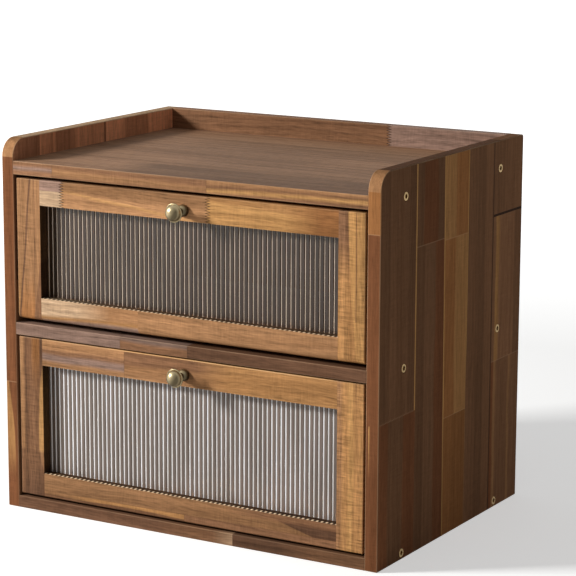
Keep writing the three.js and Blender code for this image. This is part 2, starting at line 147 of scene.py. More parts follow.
class WoodSizes(bpy.types.PropertyGroup):
    """How the boards are eased, jointed and finished"""

    arris: length_setting("Arris", "How far the sharp edges are rubbed down", 0.7 * MM)
    window_arris: length_setting("Window arris", "The same, round the windows", 0.3 * MM)
    tooth_length: length_setting("Tooth length", "Length of the fingers in an end joint", 4.6 * MM)
    tooth_pitch: length_setting("Tooth pitch", "Distance between those fingers", 2.4 * MM)
    wander: length_setting("Wander", "How far a natural colour border strays", 2.4 * MM)
    hole_clearance: length_setting("Hole clearance", "Room round a screw or pin", 0.3 * MM)
    corner_steps: IntProperty(
        name="Corner steps", description="Facets in a rounded board corner", min=2, default=16
    )
    # Painted shade on the faces inside the windows, where the frames shade them
    recess_dark: share_setting("Recess", "How much darker the wood is inside the windows", 0.8)
    roughness: share_setting("Roughness", "Roughness of the oiled surface", 0.5)
    gloss: share_setting("Gloss", "Strength of the reflections on the fronts and levels", 0.05)
    side_gloss: share_setting("Side gloss", "The same on the sides", 0.01)


class WindowLook(bpy.types.PropertyGroup):
    """The fluted clear sheets in the door and the drawer"""

    rib_pitch: length_setting("Rib pitch", "Distance from rib to rib", 4.6 * MM)
    rib_arc: FloatProperty(
        name="Rib arc",
        description="How much of a full turn each rib's face takes before it is flattened",
        subtype="ANGLE",
        default=math.radians(110),
    )
    rib_steps: IntProperty(name="Rib steps", description="Facets across a rib", min=4, default=14)
    rib_depth: length_setting("Rib depth", "How far a rib stands proud of its valleys", 0.55 * MM)
    valley: length_setting("Valley", "Flat strip between two ribs", 0.15 * MM)
    # The glints are painted highlights: a pale strip across each rib
    door_glint_start: share_setting("Door glint start", "Where the door's pale line starts", 0.15)
    door_glint_end: share_setting("Door glint end", "Where it ends across a rib", 0.3)
    drawer_glint_start: share_setting("Drawer glint start", "Where the drawer's one starts", 0.05)
    drawer_glint_end: share_setting("Drawer glint end", "Where it ends across a rib", 0.37)
    tint: colour_setting("Tint", "Colour of the clear sheet", (228, 228, 224))
    door_glint: colour_setting("Door glint", "Pale line on the door's ribs", (212, 190, 168))
    drawer_glint: colour_setting("Drawer glint", "Pale line on the drawer's ribs", (250, 244, 238))
    door_veil: share_setting("Door veil", "Strength of the reflections on the door's sheet", 0.05)
    drawer_veil: share_setting("Drawer veil", "The same on the drawer's sheet", 0.1)
    # The flute shadings are painted light and shade: a strip of each rib whose colour stands in for
    # the flute's shading
    painted_flute_shading_start: share_setting("Bloom start", "Where the soft grey strip starts across a rib", 0.62)
    painted_flute_shading_end: share_setting("Bloom end", "Where it ends", 0.77)
    door_bloom: colour_setting("Door bloom", "Grey strip on the door's ribs", (72, 54, 40))
    drawer_bloom: colour_setting("Drawer bloom", "The same on the drawer's ribs", (146, 128, 116))
    # The sparks are painted dots of light
    spark: colour_setting("Spark", "Dots of light on the ledge below", (255, 226, 186))
    spark_reach: length_setting("Spark reach", "How far those dots reach over the ledge", 4 * MM)
    roughness: share_setting("Roughness", "How much the clear sheet blurs", 0.015)
    bending: FloatProperty(name="Bending", description="How much the sheet bends light", default=1.16)


class MetalLook(bpy.types.PropertyGroup):
    """Knobs, screws, pins and the catch"""

    brass: colour_setting("Brass", "Rubbed antique brass", (182, 165, 128))
    patina: colour_setting("Patina", "Dark patina in the hollows", (50, 42, 30))
    bronze: colour_setting("Bronze", "Carcass screws", (166, 138, 92))
    steel: colour_setting("Steel", "Pins, plate and small screws", (178, 178, 176))
    case: colour_setting("Catch case", "Moulded case of the catch", (92, 66, 48))
    magnet: colour_setting("Magnet", "Block of the magnet", (52, 50, 50))
    knob_rim: length_setting("Knob rim", "Height of the rim round the knob's head", 1.2 * MM)
    knob_neck: length_setting("Knob neck", "Radius of the knob's neck", 3.0 * MM)
    knob_base: length_setting("Knob base", "Radius of the knob's base", 5.4 * MM)
    turning_steps: IntProperty(
        name="Turning steps", description="Facets round a turned piece", min=12, default=64
    )


class StageLook(bpy.types.PropertyGroup):
    """Camera, floor, surroundings and lamp"""

    lens: FloatProperty(name="Lens", description="Focal length in mm", default=148.9)
    camera_place: FloatVectorProperty(
        name="Camera place",
        description="Where the camera stands",
        subtype="TRANSLATION",
        unit="LENGTH",
        default=(1.082, -1.805, 0.629),
    )
    yaw: FloatProperty(
        name="Yaw", description="Turn to the left", subtype="ANGLE", default=math.radians(30.37)
    )
    pitch: FloatProperty(
        name="Pitch", description="Tilt down", subtype="ANGLE", default=math.radians(11.57)
    )
    roll: FloatProperty(
        name="Roll", description="Turn about the view", subtype="ANGLE", default=math.radians(0.22)
    )
    floor: colour_setting("Floor", "Pale floor", (236, 236, 234))
    glow: share_setting("Glow", "How white the floor near the box shows to the camera", 0.46)
    ambient: FloatProperty(name="Ambient", description="Light from all round", default=0.2)
    key_power: FloatProperty(name="Key", description="Power of the key lamp in watts", default=79)
    key_size: length_setting("Key size", "Side of the square key lamp", 0.45)
    key_place: FloatVectorProperty(
        name="Key place",
        description="Where the key lamp hangs",
        subtype="TRANSLATION",
        unit="LENGTH",
        default=(-1.85, -1.55, 1.24),
    )


def settings():
    """The property groups of the scene, by short name."""
    scene = bpy.context.scene
    return {
        "tones": scene.bread_box_tones,
        "wood": scene.bread_box_wood,
        "window": scene.bread_box_window,
        "metal": scene.bread_box_metal,
        "stage": scene.bread_box_stage,
    }


# Selecting and editing


def deselect_all():
    active = bpy.context.view_layer.objects.active
    if active and active.mode != "OBJECT":
        bpy.ops.object.mode_set(mode="OBJECT")
    bpy.ops.object.select_all(action="DESELECT")


def make_active(piece):
    deselect_all()
    piece.select_set(True)
    bpy.context.view_layer.objects.active = piece


def start_editing(piece, part="EDGE", action="DESELECT"):
    """Open a piece in edit mode, with none or all of it selected."""
    make_active(piece)
    bpy.ops.object.mode_set(mode="EDIT")
    bpy.ops.mesh.select_mode(type=part)
    bpy.ops.mesh.select_all(action=action)


def stop_editing():
    bpy.ops.object.mode_set(mode="OBJECT")


def select_where(piece, kind, wanted):
    """Select the edges or the faces of a piece in edit mode for which wanted is true."""
    mesh = bmesh.from_edit_mesh(piece.data)
    for part in getattr(mesh, kind):
        if wanted(part):
            part.select_set(True)
    mesh.select_flush_mode()
    bmesh.update_edit_mesh(piece.data)


def lies_in(edge, axis, place):
    """Whether both ends of an edge lie in the plane at a place along an axis."""
    number = AXES[axis]
    return all(abs(end.co[number] - place) < SAME_PLACE for end in edge.verts)


def runs_along(edge, axis):
    """Whether an edge lies along an axis."""
    number = AXES[axis]
    reach = edge.verts[0].co - edge.verts[1].co
    return abs(abs(reach[number]) - reach.length) < SAME_PLACE


def is_corner(edge):
    """Whether an edge is a corner of a board, and not a facet of a round or an open edge."""
    faces = edge.link_faces
    return len(faces) == 2 and faces[0].normal.angle(faces[1].normal) > CORNER_ANGLE


# Making and shaping pieces


def named_piece(name):
    """The object just added, under its name, with its place in its mesh."""
    piece = bpy.context.object
    piece.name = name
    piece.data.name = name
    bpy.ops.object.transform_apply(location=True, rotation=True, scale=True)
    return piece


def new_block(name, low, high):
    """A cuboid between two corners."""
    low = Vector(low)
    high = Vector(high)
    deselect_all()
    bpy.ops.mesh.primitive_cube_add(size=1, location=(low + high) / 2, scale=high - low)
    return named_piece(name)


def new_turning(name, start, axis, outline, steps):
    """A piece turned about an axis from start; the outline holds (radius, distance along)."""
    axis = Vector(axis)
    radius, along = outline[0]
    deselect_all()
    bpy.ops.mesh.primitive_circle_add(
        vertices=steps,
        radius=radius,
        fill_type="NGON",
        location=Vector(start) + axis * along,
        rotation=Z_AXIS.rotation_difference(axis).to_euler(),
    )
    piece = named_piece(name)
    start_editing(piece, "FACE", "SELECT")
    for next_radius, next_along in outline[1:]:
        reach = axis * (next_along - along)
        bpy.ops.mesh.extrude_region_move(TRANSFORM_OT_translate={"value": reach})
        centre = Vector(start) + axis * next_along
        if next_radius > 0:
            share = next_radius / radius
            bpy.ops.transform.resize(value=(share, share, share), center_override=centre)
        else:
            bpy.ops.mesh.merge(type="CENTER")
        radius, along = next_radius, next_along
    bpy.ops.mesh.select_all(action="SELECT")
    bpy.ops.mesh.normals_make_consistent(inside=False)
    stop_editing()
    return piece


def arc(centre, size, start, end, steps):
    """Points of a round stretch of an outline; angles in degrees, 0 outwards and 90 along."""
    points = []
    for number in range(steps + 1):
        angle = math.radians(start + (end - start) * number / steps)
        outward = centre[0] + size[0] * math.cos(angle)
        points.append((outward, centre[1] + size[1] * math.sin(angle)))
    return points


def bevel_edges(piece, wanted, width, steps, rubbed=False):
    """Round the wanted edges; rubbed ones are marked for a paler arris, part wear and part painted
    highlight.
    """
    start_editing(piece, "EDGE")
    select_where(piece, "edges", wanted)
    bpy.ops.mesh.bevel(offset=width, segments=steps, affect="EDGES")
    stop_editing()
    if rubbed:
        mark_faces(piece, "arris", lambda face: face.select and max(map(abs, face.normal)) < SQUARE)


def mark_faces(piece, name, wanted):
    """Give the wanted faces of a piece a mark that its finish reads."""
    mark = piece.data.attributes.get(name)
    if mark is None:
        mark = piece.data.attributes.new(name, "FLOAT", "FACE")
    for face, value in zip(piece.data.polygons, mark.data):
        if wanted(face):
            value.value = 1.0


def ease_edges(piece, joints, width):
    """Rub down the corners of a board, but for those that lie in the planes where it is jointed."""
    bevel_edges(
        piece,
        lambda edge: is_corner(edge) and not any(lies_in(edge, *joint) for joint in joints),
        width,
        ARRIS_STEPS,
        rubbed=True,
    )


def round_edge(piece, height, depth, radius, steps, rubbed=False):
    """Round the edge of a board that runs across the box at a height and a depth."""
    bevel_edges(
        piece,
        lambda edge: lies_in(edge, "z", height) and lies_in(edge, "y", depth),
        radius,
        steps,
        rubbed,
    )


def new_board(node, name, width, *jointed):
    """A board in its node's place, eased by a width but where it is jointed, such as "x low"."""
    low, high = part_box(node)
    piece = new_block(name, low, high)
    joints = []
    for joint in jointed:
        axis, end = joint.split()
        joints.append((axis, getattr(low if end == "low" else high, axis)))
    ease_edges(piece, joints, width)
    return piece


def cut_with(piece, cutter):
    """Take the cutter's shape out of a piece and throw the cutter away."""
    make_active(piece)
    change = piece.modifiers.new("cut", "BOOLEAN")
    change.operation = "DIFFERENCE"
    change.solver = "EXACT"
    change.object = cutter
    bpy.ops.object.modifier_apply(modifier=change.name)
    bpy.data.objects.remove(cutter)


def cut_box(piece, low, high):
    """Take the box between two corners out of a piece."""
    cut_with(piece, new_block("cutter", low, high))


def drill_for_pin(piece, side):
    """Drill a side board or a stile of the door for the hinge pin on that side."""
    low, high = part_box(f"hinge_pin_{side}")
    radius = (high.z - low.z) / 2 + settings()["wood"].hole_clearance
    start = (low.x, (low.y + high.y) / 2, (low.z + high.z) / 2)
    outline = [(radius, 0), (radius, high.x - low.x)]
    cut_with(piece, new_turning("cutter", start, X_AXIS, outline, HOLE_STEPS))


def smooth_shallow(piece, kind):
    """Shade smooth across the edges that are shallow for a kind of piece, and keep flats flat."""
    make_active(piece)
    bpy.ops.object.shade_smooth_by_angle(angle=math.radians(SMOOTH_UNDER[kind]))
    weighted = piece.modifiers.new("flat faces", "WEIGHTED_NORMAL")
    weighted.keep_sharp = True
    bpy.ops.object.modifier_apply(modifier=weighted.name)


def finish_piece(piece, body, node, materials):
    """Give a piece its finish, hide the node that it stands for and let it ride on its body."""
    piece.data.materials.clear()
    for material in materials:
        piece.data.materials.append(material)
    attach(piece, body)
    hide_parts(node)


def grown(box, clearance):
    """A node's box with a clearance all round."""
    room = Vector((clearance, clearance, clearance))
    return box[0] - room, box[1] + room


# Node trees


def fill_inputs(tree, node, inputs):
    """Give inputs of a node, by name or number, a value or the output that feeds them."""
    for key, value in inputs.items():
        if isinstance(value, bpy.types.NodeSocket):
            tree.links.new(value, node.inputs[key])
        else:
            node.inputs[key].default_value = value


def step(tree, kind, inputs=None, **choices):
    """Add a node with its choices and its inputs."""
    node = tree.nodes.new(kind)
    for name, value in choices.items():
        setattr(node, name, value)
    fill_inputs(tree, node, inputs or {})
    return node


def maths(tree, operation, first, second=0.0, clamp=False):
    node = step(tree, "ShaderNodeMath", {0: first, 1: second}, operation=operation)
    node.use_clamp = clamp
    return node.outputs[0]


def vector_maths(tree, operation, first, second):
    node = step(tree, "ShaderNodeVectorMath", {0: first, 1: second}, operation=operation)
    return node.outputs[0]


def mixed_colour(tree, factor, first, second, mode="MIX"):
    choices = {"data_type": "RGBA", "blend_type": mode}
    node = step(tree, "ShaderNodeMix", {0: factor, 6: first, 7: second}, **choices)
    return node.outputs[2]


def mixed_value(tree, factor, first, second):
    node = step(tree, "ShaderNodeMix", {0: factor, 2: first, 3: second}, data_type="FLOAT")
    return node.outputs[0]


def remapped(tree, value, from_low, from_high, to_low=0.0, to_high=1.0):
    inputs = {0: value, 1: from_low, 2: from_high, 3: to_low, 4: to_high}
    return step(tree, "ShaderNodeMapRange", inputs).outputs[0]


def noise(tree, vector, scale, detail=2.0, roughness=0.5):
    inputs = {"Vector": vector, "Scale": scale, "Detail": detail, "Roughness": roughness}
    return step(tree, "ShaderNodeTexNoise", inputs).outputs["Fac"]


def long_noise(tree, vector, along, across, detail=2.0, roughness=0.5):
    """Noise with its own number of cells to the metre along X and across it."""
    scaled = vector_maths(tree, "MULTIPLY", vector, (along, across, across))
    return noise(tree, scaled, 1.0, detail, roughness)


def object_place(tree):
    return step(tree, "ShaderNodeTexCoord").outputs["Object"]


def bump(tree, height, strength, depth):
    inputs = {"Strength": strength, "Distance": depth, "Height": height}
    return step(tree, "ShaderNodeBump", inputs).outputs["Normal"]


def new_group(name, inputs, outputs):
    """A shader node group with named sockets, with its input and output nodes."""
    tree = bpy.data.node_groups.new(name, "ShaderNodeTree")
    kinds = {"value": "NodeSocketFloat", "colour": "NodeSocketColor", "vector": "NodeSocketVector"}
    for label, kind, default in inputs:
        socket = tree.interface.new_socket(label, in_out="INPUT", socket_type=kinds[kind])
        if default is not None:
            socket.default_value = default
    for label, kind in outputs:
        tree.interface.new_socket(label, in_out="OUTPUT", socket_type=kinds[kind])
    entry = tree.nodes.new("NodeGroupInput")
    leave = tree.nodes.new("NodeGroupOutput")
    return tree, entry.outputs, leave.inputs


def use_group(tree, name, inputs):
    """Place a node group and give its outputs."""
    return step(tree, "ShaderNodeGroup", inputs, node_tree=bpy.data.node_groups[name]).outputs


def new_material(name, surface):
    """A material whose Principled shader has plain values on its own sockets."""
    material = bpy.data.materials.new(name)
    material.use_nodes = True
    tree = material.node_tree
    tree.nodes.clear()
    shader = step(tree, "ShaderNodeBsdfPrincipled", surface)
    step(tree, "ShaderNodeOutputMaterial", {"Surface": shader.outputs[0]})
    return material, tree, shader


def lamp_light(tree, share):
    """An alpha that lets this share of a lamp's light through, and hides nothing from the camera."""
    light = step(tree, "ShaderNodeLightPath")
    shadow = maths(tree, "MULTIPLY", light.outputs["Is Shadow Ray"], share)
    return maths(tree, "SUBTRACT", 1.0, shadow)


# Wood: a group for the joint between two staves, and a group for the grain of one


def build_joint_group():
    """Two neighbouring staves: which one a point is in, with the joint's teeth, wander and line."""
    side_inputs = []
    for side in ("Low", "High"):
        side_inputs += [
            (f"{side} light", "colour", None),
            (f"{side} dark", "colour", None),
            (f"{side} grain", "value", 0.0),
            (f"{side} line", "value", 0.0),
        ]
    tree, given, leave = new_group(
        "Stave joint",
        [
            ("Along", "value", 0.0),
            ("Across", "value", 0.0),
            ("Place", "value", 0.0),
            ("Tooth length", "value", 0.0),
            ("Tooth pitch", "value", 3 * MM),
            ("Wander", "value", 0.0),
            ("Slant", "value", 0.0),
            ("Bow", "value", 0.0),
            ("Blend", "value", 0.2 * MM),
            ("Line width", "value", 0.4 * MM),
            ("Line strength", "value", 0.0),
            *side_inputs,
        ],
        [("Light", "colour"), ("Dark", "colour"), ("Grain", "value"), ("Line", "value")],
    )
    # The border has teeth, strays slowly, and is slanted and bowed
    zigzag = maths(tree, "PINGPONG", given["Across"], given["Tooth pitch"])
    zigzag = maths(tree, "DIVIDE", zigzag, given["Tooth pitch"])
    zigzag = maths(tree, "SUBTRACT", zigzag, 0.5)
    teeth = maths(tree, "MULTIPLY", zigzag, given["Tooth length"])
    spot = step(tree, "ShaderNodeCombineXYZ", {"X": given["Across"], "Y": given["Place"]})
    stray = remapped(tree, noise(tree, spot.outputs[0], 14.0, 1.0), 0.25, 0.75, -1.0, 1.0)
    stray = maths(tree, "MULTIPLY", stray, given["Wander"])
    curved = maths(tree, "MULTIPLY", given["Across"], given["Bow"])
    curved = maths(tree, "ADD", curved, given["Slant"])
    curved = maths(tree, "MULTIPLY", curved, given["Across"])
    border = maths(tree, "ADD", given["Place"], teeth)
    border = maths(tree, "ADD", border, stray)
    border = maths(tree, "ADD", border, curved)

    # Past it the high stave takes over, within the blend
    past = maths(tree, "SUBTRACT", given["Along"], border)
    is_high = maths(tree, "DIVIDE", past, given["Blend"])
    is_high = maths(tree, "ADD", is_high, 0.5, clamp=True)
    for end in ("light", "dark"):
        colour = mixed_colour(tree, is_high, given[f"Low {end}"], given[f"High {end}"])
        tree.links.new(colour, leave[end.capitalize()])
    grain = mixed_value(tree, is_high, given["Low grain"], given["High grain"])
    tree.links.new(grain, leave["Grain"])

    # The line is full for half its width on either side, and gone at one and a half
    nearness = maths(tree, "DIVIDE", maths(tree, "ABSOLUTE", past), given["Line width"])
    nearness = maths(tree, "SUBTRACT", 1.5, nearness, clamp=True)
    own_line = maths(tree, "MULTIPLY", nearness, given["Line strength"])
    carried = mixed_value(tree, is_high, given["Low line"], given["High line"])
    tree.links.new(maths(tree, "ADD", own_line, carried), leave["Line"])


def build_grain_group():
    """The grain of one stave, along X, with pores, curl, joint lines, arrises and end grain."""
    tree, given, leave = new_group(
        "Wood grain",
        [
            ("Vector", "vector", None),
            ("Grain", "value", 0.0),
            ("Light", "colour", None),
            ("Dark", "colour", None),
            ("Line", "value", 0.0),
            ("Arris", "value", 0.0),
            ("Recess", "value", 0.0),
            ("End", "value", 0.0),
            ("Curl", "value", 0.15),
            ("Figure", "value", 1.0),
            ("Roughness", "value", 0.42),
        ],
        [("Color", "colour"), ("Roughness", "value"), ("Height", "value")],
    )
    shares = {"X": 0.731, "Y": 0.293, "Z": 0.517}
    shift = {axis: maths(tree, "MULTIPLY", given["Grain"], share) for axis, share in shares.items()}
    offset = step(tree, "ShaderNodeCombineXYZ", shift).outputs[0]
    place = vector_maths(tree, "ADD", given["Vector"], offset)

    # The grain bends slowly along the board
    slow = vector_maths(tree, "MULTIPLY", place, (6.0, 24.0, 24.0))
    inputs = {"Vector": slow, "Scale": 1.0, "Detail": 1.0, "Roughness": 0.5}
    bend = step(tree, "ShaderNodeTexNoise", inputs).outputs["Color"]
    bend = vector_maths(tree, "SUBTRACT", bend, (0.5, 0.5, 0.5))
    bend = vector_maths(tree, "MULTIPLY", bend, (0.0, 0.012, 0.012))
    bent = vector_maths(tree, "ADD", place, bend)

    # Its layers, each with its cells to the metre along and across, its detail and its roughness
    bands = remapped(tree, long_noise(tree, bent, 3.0, 170.0, 4.0, 0.6), 0.36, 0.64)
    broad = remapped(tree, long_noise(tree, bent, 1.6, 38.0, 1.0), 0.32, 0.68)
    drift = long_noise(tree, place, 9.0, 22.0)
    streaks = long_noise(tree, bent, 9.0, 520.0, 3.0, 0.6)
    ticks = long_noise(tree, bent, 75.0, 820.0, 2.0, 0.6)
    fibres = long_noise(tree, place, 60.0, 1500.0, 2.0, 0.6)
    pores = remapped(tree, long_noise(tree, place, 130.0, 2400.0, 0.0), 0.66, 0.76)
    flecks = long_noise(tree, bent, 620.0, 75.0, 2.0, 0.55)
    patchy = remapped(tree, long_noise(tree, bent, 22.0, 60.0), 0.36, 0.62, 0.3, 1.0)
    ringed = vector_maths(tree, "MULTIPLY", bent, (0.22, 1.0, 1.0))
    rings = step(
        tree,
        "ShaderNodeTexWave",
        {"Vector": ringed, "Scale": 52.0, "Distortion": 2.5, "Detail": 2.0, "Detail Scale": 1.5},
        wave_type="RINGS",
        rings_direction="X",
    ).outputs["Fac"]
    rings = maths(tree, "POWER", rings, 2.5)

    # The stave's tone goes from its dark to its light colour
    tone = maths(tree, "SUBTRACT", mixed_value(tree, 0.42, bands, broad), 0.5)
    tone = maths(tree, "ADD", maths(tree, "MULTIPLY", tone, given["Figure"]), 0.5)
    colour = mixed_colour(tree, tone, given["Dark"], given["Light"])

    # Each layer swings the level about its centre, by its strength
    level = 0.0
    for value, centre, strength in (
        (drift, 0.5, 0.5),
        (streaks, 0.5, 0.85),
        (ticks, 0.5, 0.95),
        (fibres, 0.5, 0.35),
        (rings, 0.3, -0.14),
        (pores, 0.1, -0.2),
        (given["End"], 0.0, -0.3),
    ):
        swing = maths(tree, "SUBTRACT", value, centre)
        level = maths(tree, "ADD", maths(tree, "MULTIPLY", swing, strength), level)
    level = maths(tree, "ADD", maths(tree, "MULTIPLY", level, given["Figure"]), 1.0)
    waved = maths(tree, "MULTIPLY", maths(tree, "SUBTRACT", flecks, 0.5), given["Curl"])
    waved = maths(tree, "MULTIPLY", waved, patchy)
    level = maths(tree, "ADD", maths(tree, "MULTIPLY", waved, 5.5), level)
    level = maths(tree, "ADD", maths(tree, "MINIMUM", given["Line"], 0.0), level)
    level = maths(tree, "MAXIMUM", level, 0.05)
    # Painted shade darkens the faces inside the windows
    level = maths(tree, "MULTIPLY", level, maths(tree, "SUBTRACT", 1.0, given["Recess"]))
    shade = step(tree, "ShaderNodeCombineXYZ", {"X": level, "Y": level, "Z": level}).outputs[0]
    colour = mixed_colour(tree, 1.0, colour, shade, "MULTIPLY")

    # Pale joint lines and rubbed arrises lie over it; an arris's paleness is wear and a painted
    # highlight together
    pale = mixed_colour(tree, 0.35, given["Light"], linear(settings()["tones"].worn_and_highlight))
    paler = maths(tree, "MAXIMUM", given["Line"], 0.0)
    rubbed = maths(tree, "MULTIPLY", given["Arris"], remapped(tree, drift, 0.4, 0.6, 0.45, 1.0))
    paler = maths(tree, "MAXIMUM", paler, rubbed)
    colour = mixed_colour(tree, paler, colour, pale)
    tree.links.new(colour, leave["Color"])

    # Fibres, pores and end grain are duller, and the pores are sunk
    rough = maths(tree, "MULTIPLY", fibres, 0.12)
    rough = maths(tree, "ADD", rough, maths(tree, "MULTIPLY", pores, 0.2))
    rough = maths(tree, "ADD", rough, maths(tree, "MULTIPLY", given["End"], 0.15))
    tree.links.new(maths(tree, "ADD", rough, given["Roughness"]), leave["Roughness"])
    height = maths(tree, "MULTIPLY", fibres, 0.5)
    height = maths(tree, "SUBTRACT", height, pores)
    height = maths(tree, "ADD", height, maths(tree, "MULTIPLY", bands, 0.3))
    tree.links.new(height, leave["Height"])


def joint_kind(blend=0.3, line=0.0, width=0.4, teeth=0.0, wander=0.0, cut=True):
    """How two staves meet.

    It gives the width in mm over which one tone passes into the other, how much paler or darker
    the line between them is and that line's width in mm, the teeth and the wander as shares of the
    wood's sizes, and whether two pieces of wood meet there or one changes tone.
    """
    return {
        "blend": blend,
        "line": line,
        "width": width,
        "teeth": teeth,
        "wander": wander,
        "cut": cut,
    }


JOINTS = {
    "plain": joint_kind(blend=0.2),
    "glue": joint_kind(line=-0.14),
    "butt": joint_kind(line=-0.2),
    "bright": joint_kind(line=0.5),
    "finger": joint_kind(line=-0.75, width=0.9, teeth=1.0),
    "fine": joint_kind(line=0.4, teeth=0.25),
    "grown": joint_kind(blend=1.0, wander=0.6, cut=False),
    "soft": joint_kind(blend=3.0, wander=0.5, cut=False),
    "fade": joint_kind(blend=36.0, wander=1.0, cut=False),
}

# How much a sign after a tone's name lifts or lowers it, how much lighter and darker than its tone
# a stave's two colours are, and how much green and blue the darker one keeps
LIFT = {"+": 1.16, "-": 0.86}
LIGHT_SHARE = 1.2
DARK_SHARE = 0.76
DARK_GREEN_SHARE = 0.95
DARK_BLUE_SHARE = 0.9
# How far apart the grain numbers of neighbouring staves are
SEED_STEP = 1.37


def row(axis, joint, *pieces):
    """Staves side by side along an axis: layout, border in mm, layout, border in mm, ... layout."""
    return {"axis": axis, "joint": joint, "pieces": pieces}


def through(*points):
    """A border through two or three points, each (place, across) in mm, as place, slant and bow."""
    (first, low), (second, middle) = points[:2]
    slant = (second - first) / (middle - low)
    if len(points) == 2:
        return first - slant * low, slant, 0.0
    third, high = points[2]
    bow = ((third - second) / (high - middle) - slant) / (high - low)
    return first - slant * low + bow * low * middle, slant - bow * (low + middle), bow


def tone_pair(name):
    """The light and the dark colour of a stave; a sign after the name lifts or lowers it."""
    lift = 1.0
    while name[-1] in LIFT:
        lift *= LIFT[name[-1]]
        name = name[:-1]
    colour = getattr(settings()["tones"], name)
    red, green, blue, opaque = linear(colour, DARK_SHARE * lift)
    dark = (red, green * DARK_GREEN_SHARE, blue * DARK_BLUE_SHARE, opaque)
    return linear(colour, LIGHT_SHARE * lift), dark


def stave_inputs(tree, layout, place, axes, seeds):
    """The colours, the grain number and the joint line of a layout, as values or sockets."""
    if isinstance(layout, str):
        light, dark = tone_pair(layout)
        return {"light": light, "dark": dark, "grain": next(seeds), "line": 0.0}
    wood = settings()["wood"]
    kind = JOINTS[layout["joint"]]
    along = layout["axis"]
    grain_axis, cross_axis = axes
    across = cross_axis if along == grain_axis else grain_axis
    if not kind["cut"]:
        seeds = itertools.repeat(next(seeds))
    state = stave_inputs(tree, layout["pieces"][0], place, axes, seeds)
    for number in range(1, len(layout["pieces"]), 2):
        following = stave_inputs(tree, layout["pieces"][number + 1], place, axes, seeds)
        border = layout["pieces"][number]
        spot, slant, bow = border if isinstance(border, tuple) else (border, 0.0, 0.0)
        inputs = {
            "Along": place[along],
            "Across": place[across],
            "Place": spot * MM,
            "Slant": slant,
            "Bow": bow / MM,
            "Tooth length": kind["teeth"] * wood.tooth_length,
            "Tooth pitch": wood.tooth_pitch / 2,
            "Wander": kind["wander"] * wood.wander,
            "Blend": kind["blend"] * MM,
            "Line width": kind["width"] * MM,
            "Line strength": kind["line"],
        }
        for side, found in (("Low", state), ("High", following)):
            for key, value in found.items():
                inputs[f"{side} {key}"] = value
        joint = use_group(tree, "Stave joint", inputs)
        state = {key: joint[key.capitalize()] for key in ("light", "dark", "grain", "line")}
    return state


def wood_material(
    name, axes, staves, seed, curl=0.12, rubbed=0.4, figure=1.0, corner=None, ledge=None
):
    """Oiled wood built of staves, which say where each tone is and how they meet.

    The seed is the first stave's grain number. The ledge is where in Y the rail under a window
    starts, on which the ribs throw dots of light.
    """
    wood = settings()["wood"]
    grain_axis = axes[0]
    gloss = wood.side_gloss if "side" in name else wood.gloss
    material, tree, shader = new_material(name, {"IOR": 1.45, "Specular IOR Level": gloss})
    source = step(tree, "ShaderNodeTexCoord")
    split = step(tree, "ShaderNodeSeparateXYZ", {0: source.outputs["Object"]})
    place = {axis: split.outputs[axis.upper()] for axis in AXES}
    others = [axis for axis in AXES if axis != grain_axis]
    turned = step(
        tree,
        "ShaderNodeCombineXYZ",
        {"X": place[grain_axis], "Y": place[others[0]], "Z": place[others[1]]},
    )
    # End grain is where a face looks along the grain
    facing = step(tree, "ShaderNodeSeparateXYZ", {0: source.outputs["Normal"]})
    facing = maths(tree, "ABSOLUTE", facing.outputs[grain_axis.upper()])
    arris = step(tree, "ShaderNodeAttribute", attribute_name="arris").outputs["Fac"]
    recess = step(tree, "ShaderNodeAttribute", attribute_name="recess").outputs["Fac"]
    state = stave_inputs(tree, staves, place, axes, itertools.count(seed, SEED_STEP))
    if corner is not None:
        rounded = step(tree, "ShaderNodeAttribute", attribute_name="corner").outputs["Fac"]
        for key, tone in zip(("light", "dark"), tone_pair(corner)):
            state[key] = mixed_colour(tree, rounded, state[key], tone)
    grain = use_group(
        tree,
        "Wood grain",
        {
            "Vector": turned.outputs[0],
            "Grain": state["grain"],
            "Light": state["light"],
            "Dark": state["dark"],
            "Line": state["line"],
            "Arris": maths(tree, "MULTIPLY", arris, rubbed),
            "Recess": maths(tree, "MULTIPLY", recess, wood.recess_dark),
            "End": remapped(tree, facing, 0.75, 0.9),
            "Curl": curl,
            "Figure": figure,
            "Roughness": wood.roughness,
        },
    )
    colour = grain["Color"]
    # The sparks are dots of light painted into the ledge's colour
    if ledge is not None:
        sparks = maths(tree, "MULTIPLY", rib_sparks(tree, place, ledge), recess)
        colour = mixed_colour(tree, sparks, colour, linear(settings()["window"].spark))
    normal = bump(tree, grain["Height"], 0.35, 0.15 * MM)
    finish = {"Base Color": colour, "Roughness": grain["Roughness"], "Normal": normal}
    fill_inputs(tree, shader, finish)
    return material


def rib_sparks(tree, place, front):
    """A dot of light under each rib, on the ledge that starts at the front."""
    look = settings()["window"]
    half = look.rib_pitch / 2
    wave = maths(tree, "PINGPONG", place["x"], half)
    dot = remapped(tree, wave, half * 0.5, half * 0.7)
    near = remapped(tree, place["y"], front + look.spark_reach, front + look.spark_reach - MM)
    return maths(tree, "MULTIPLY", dot, near)
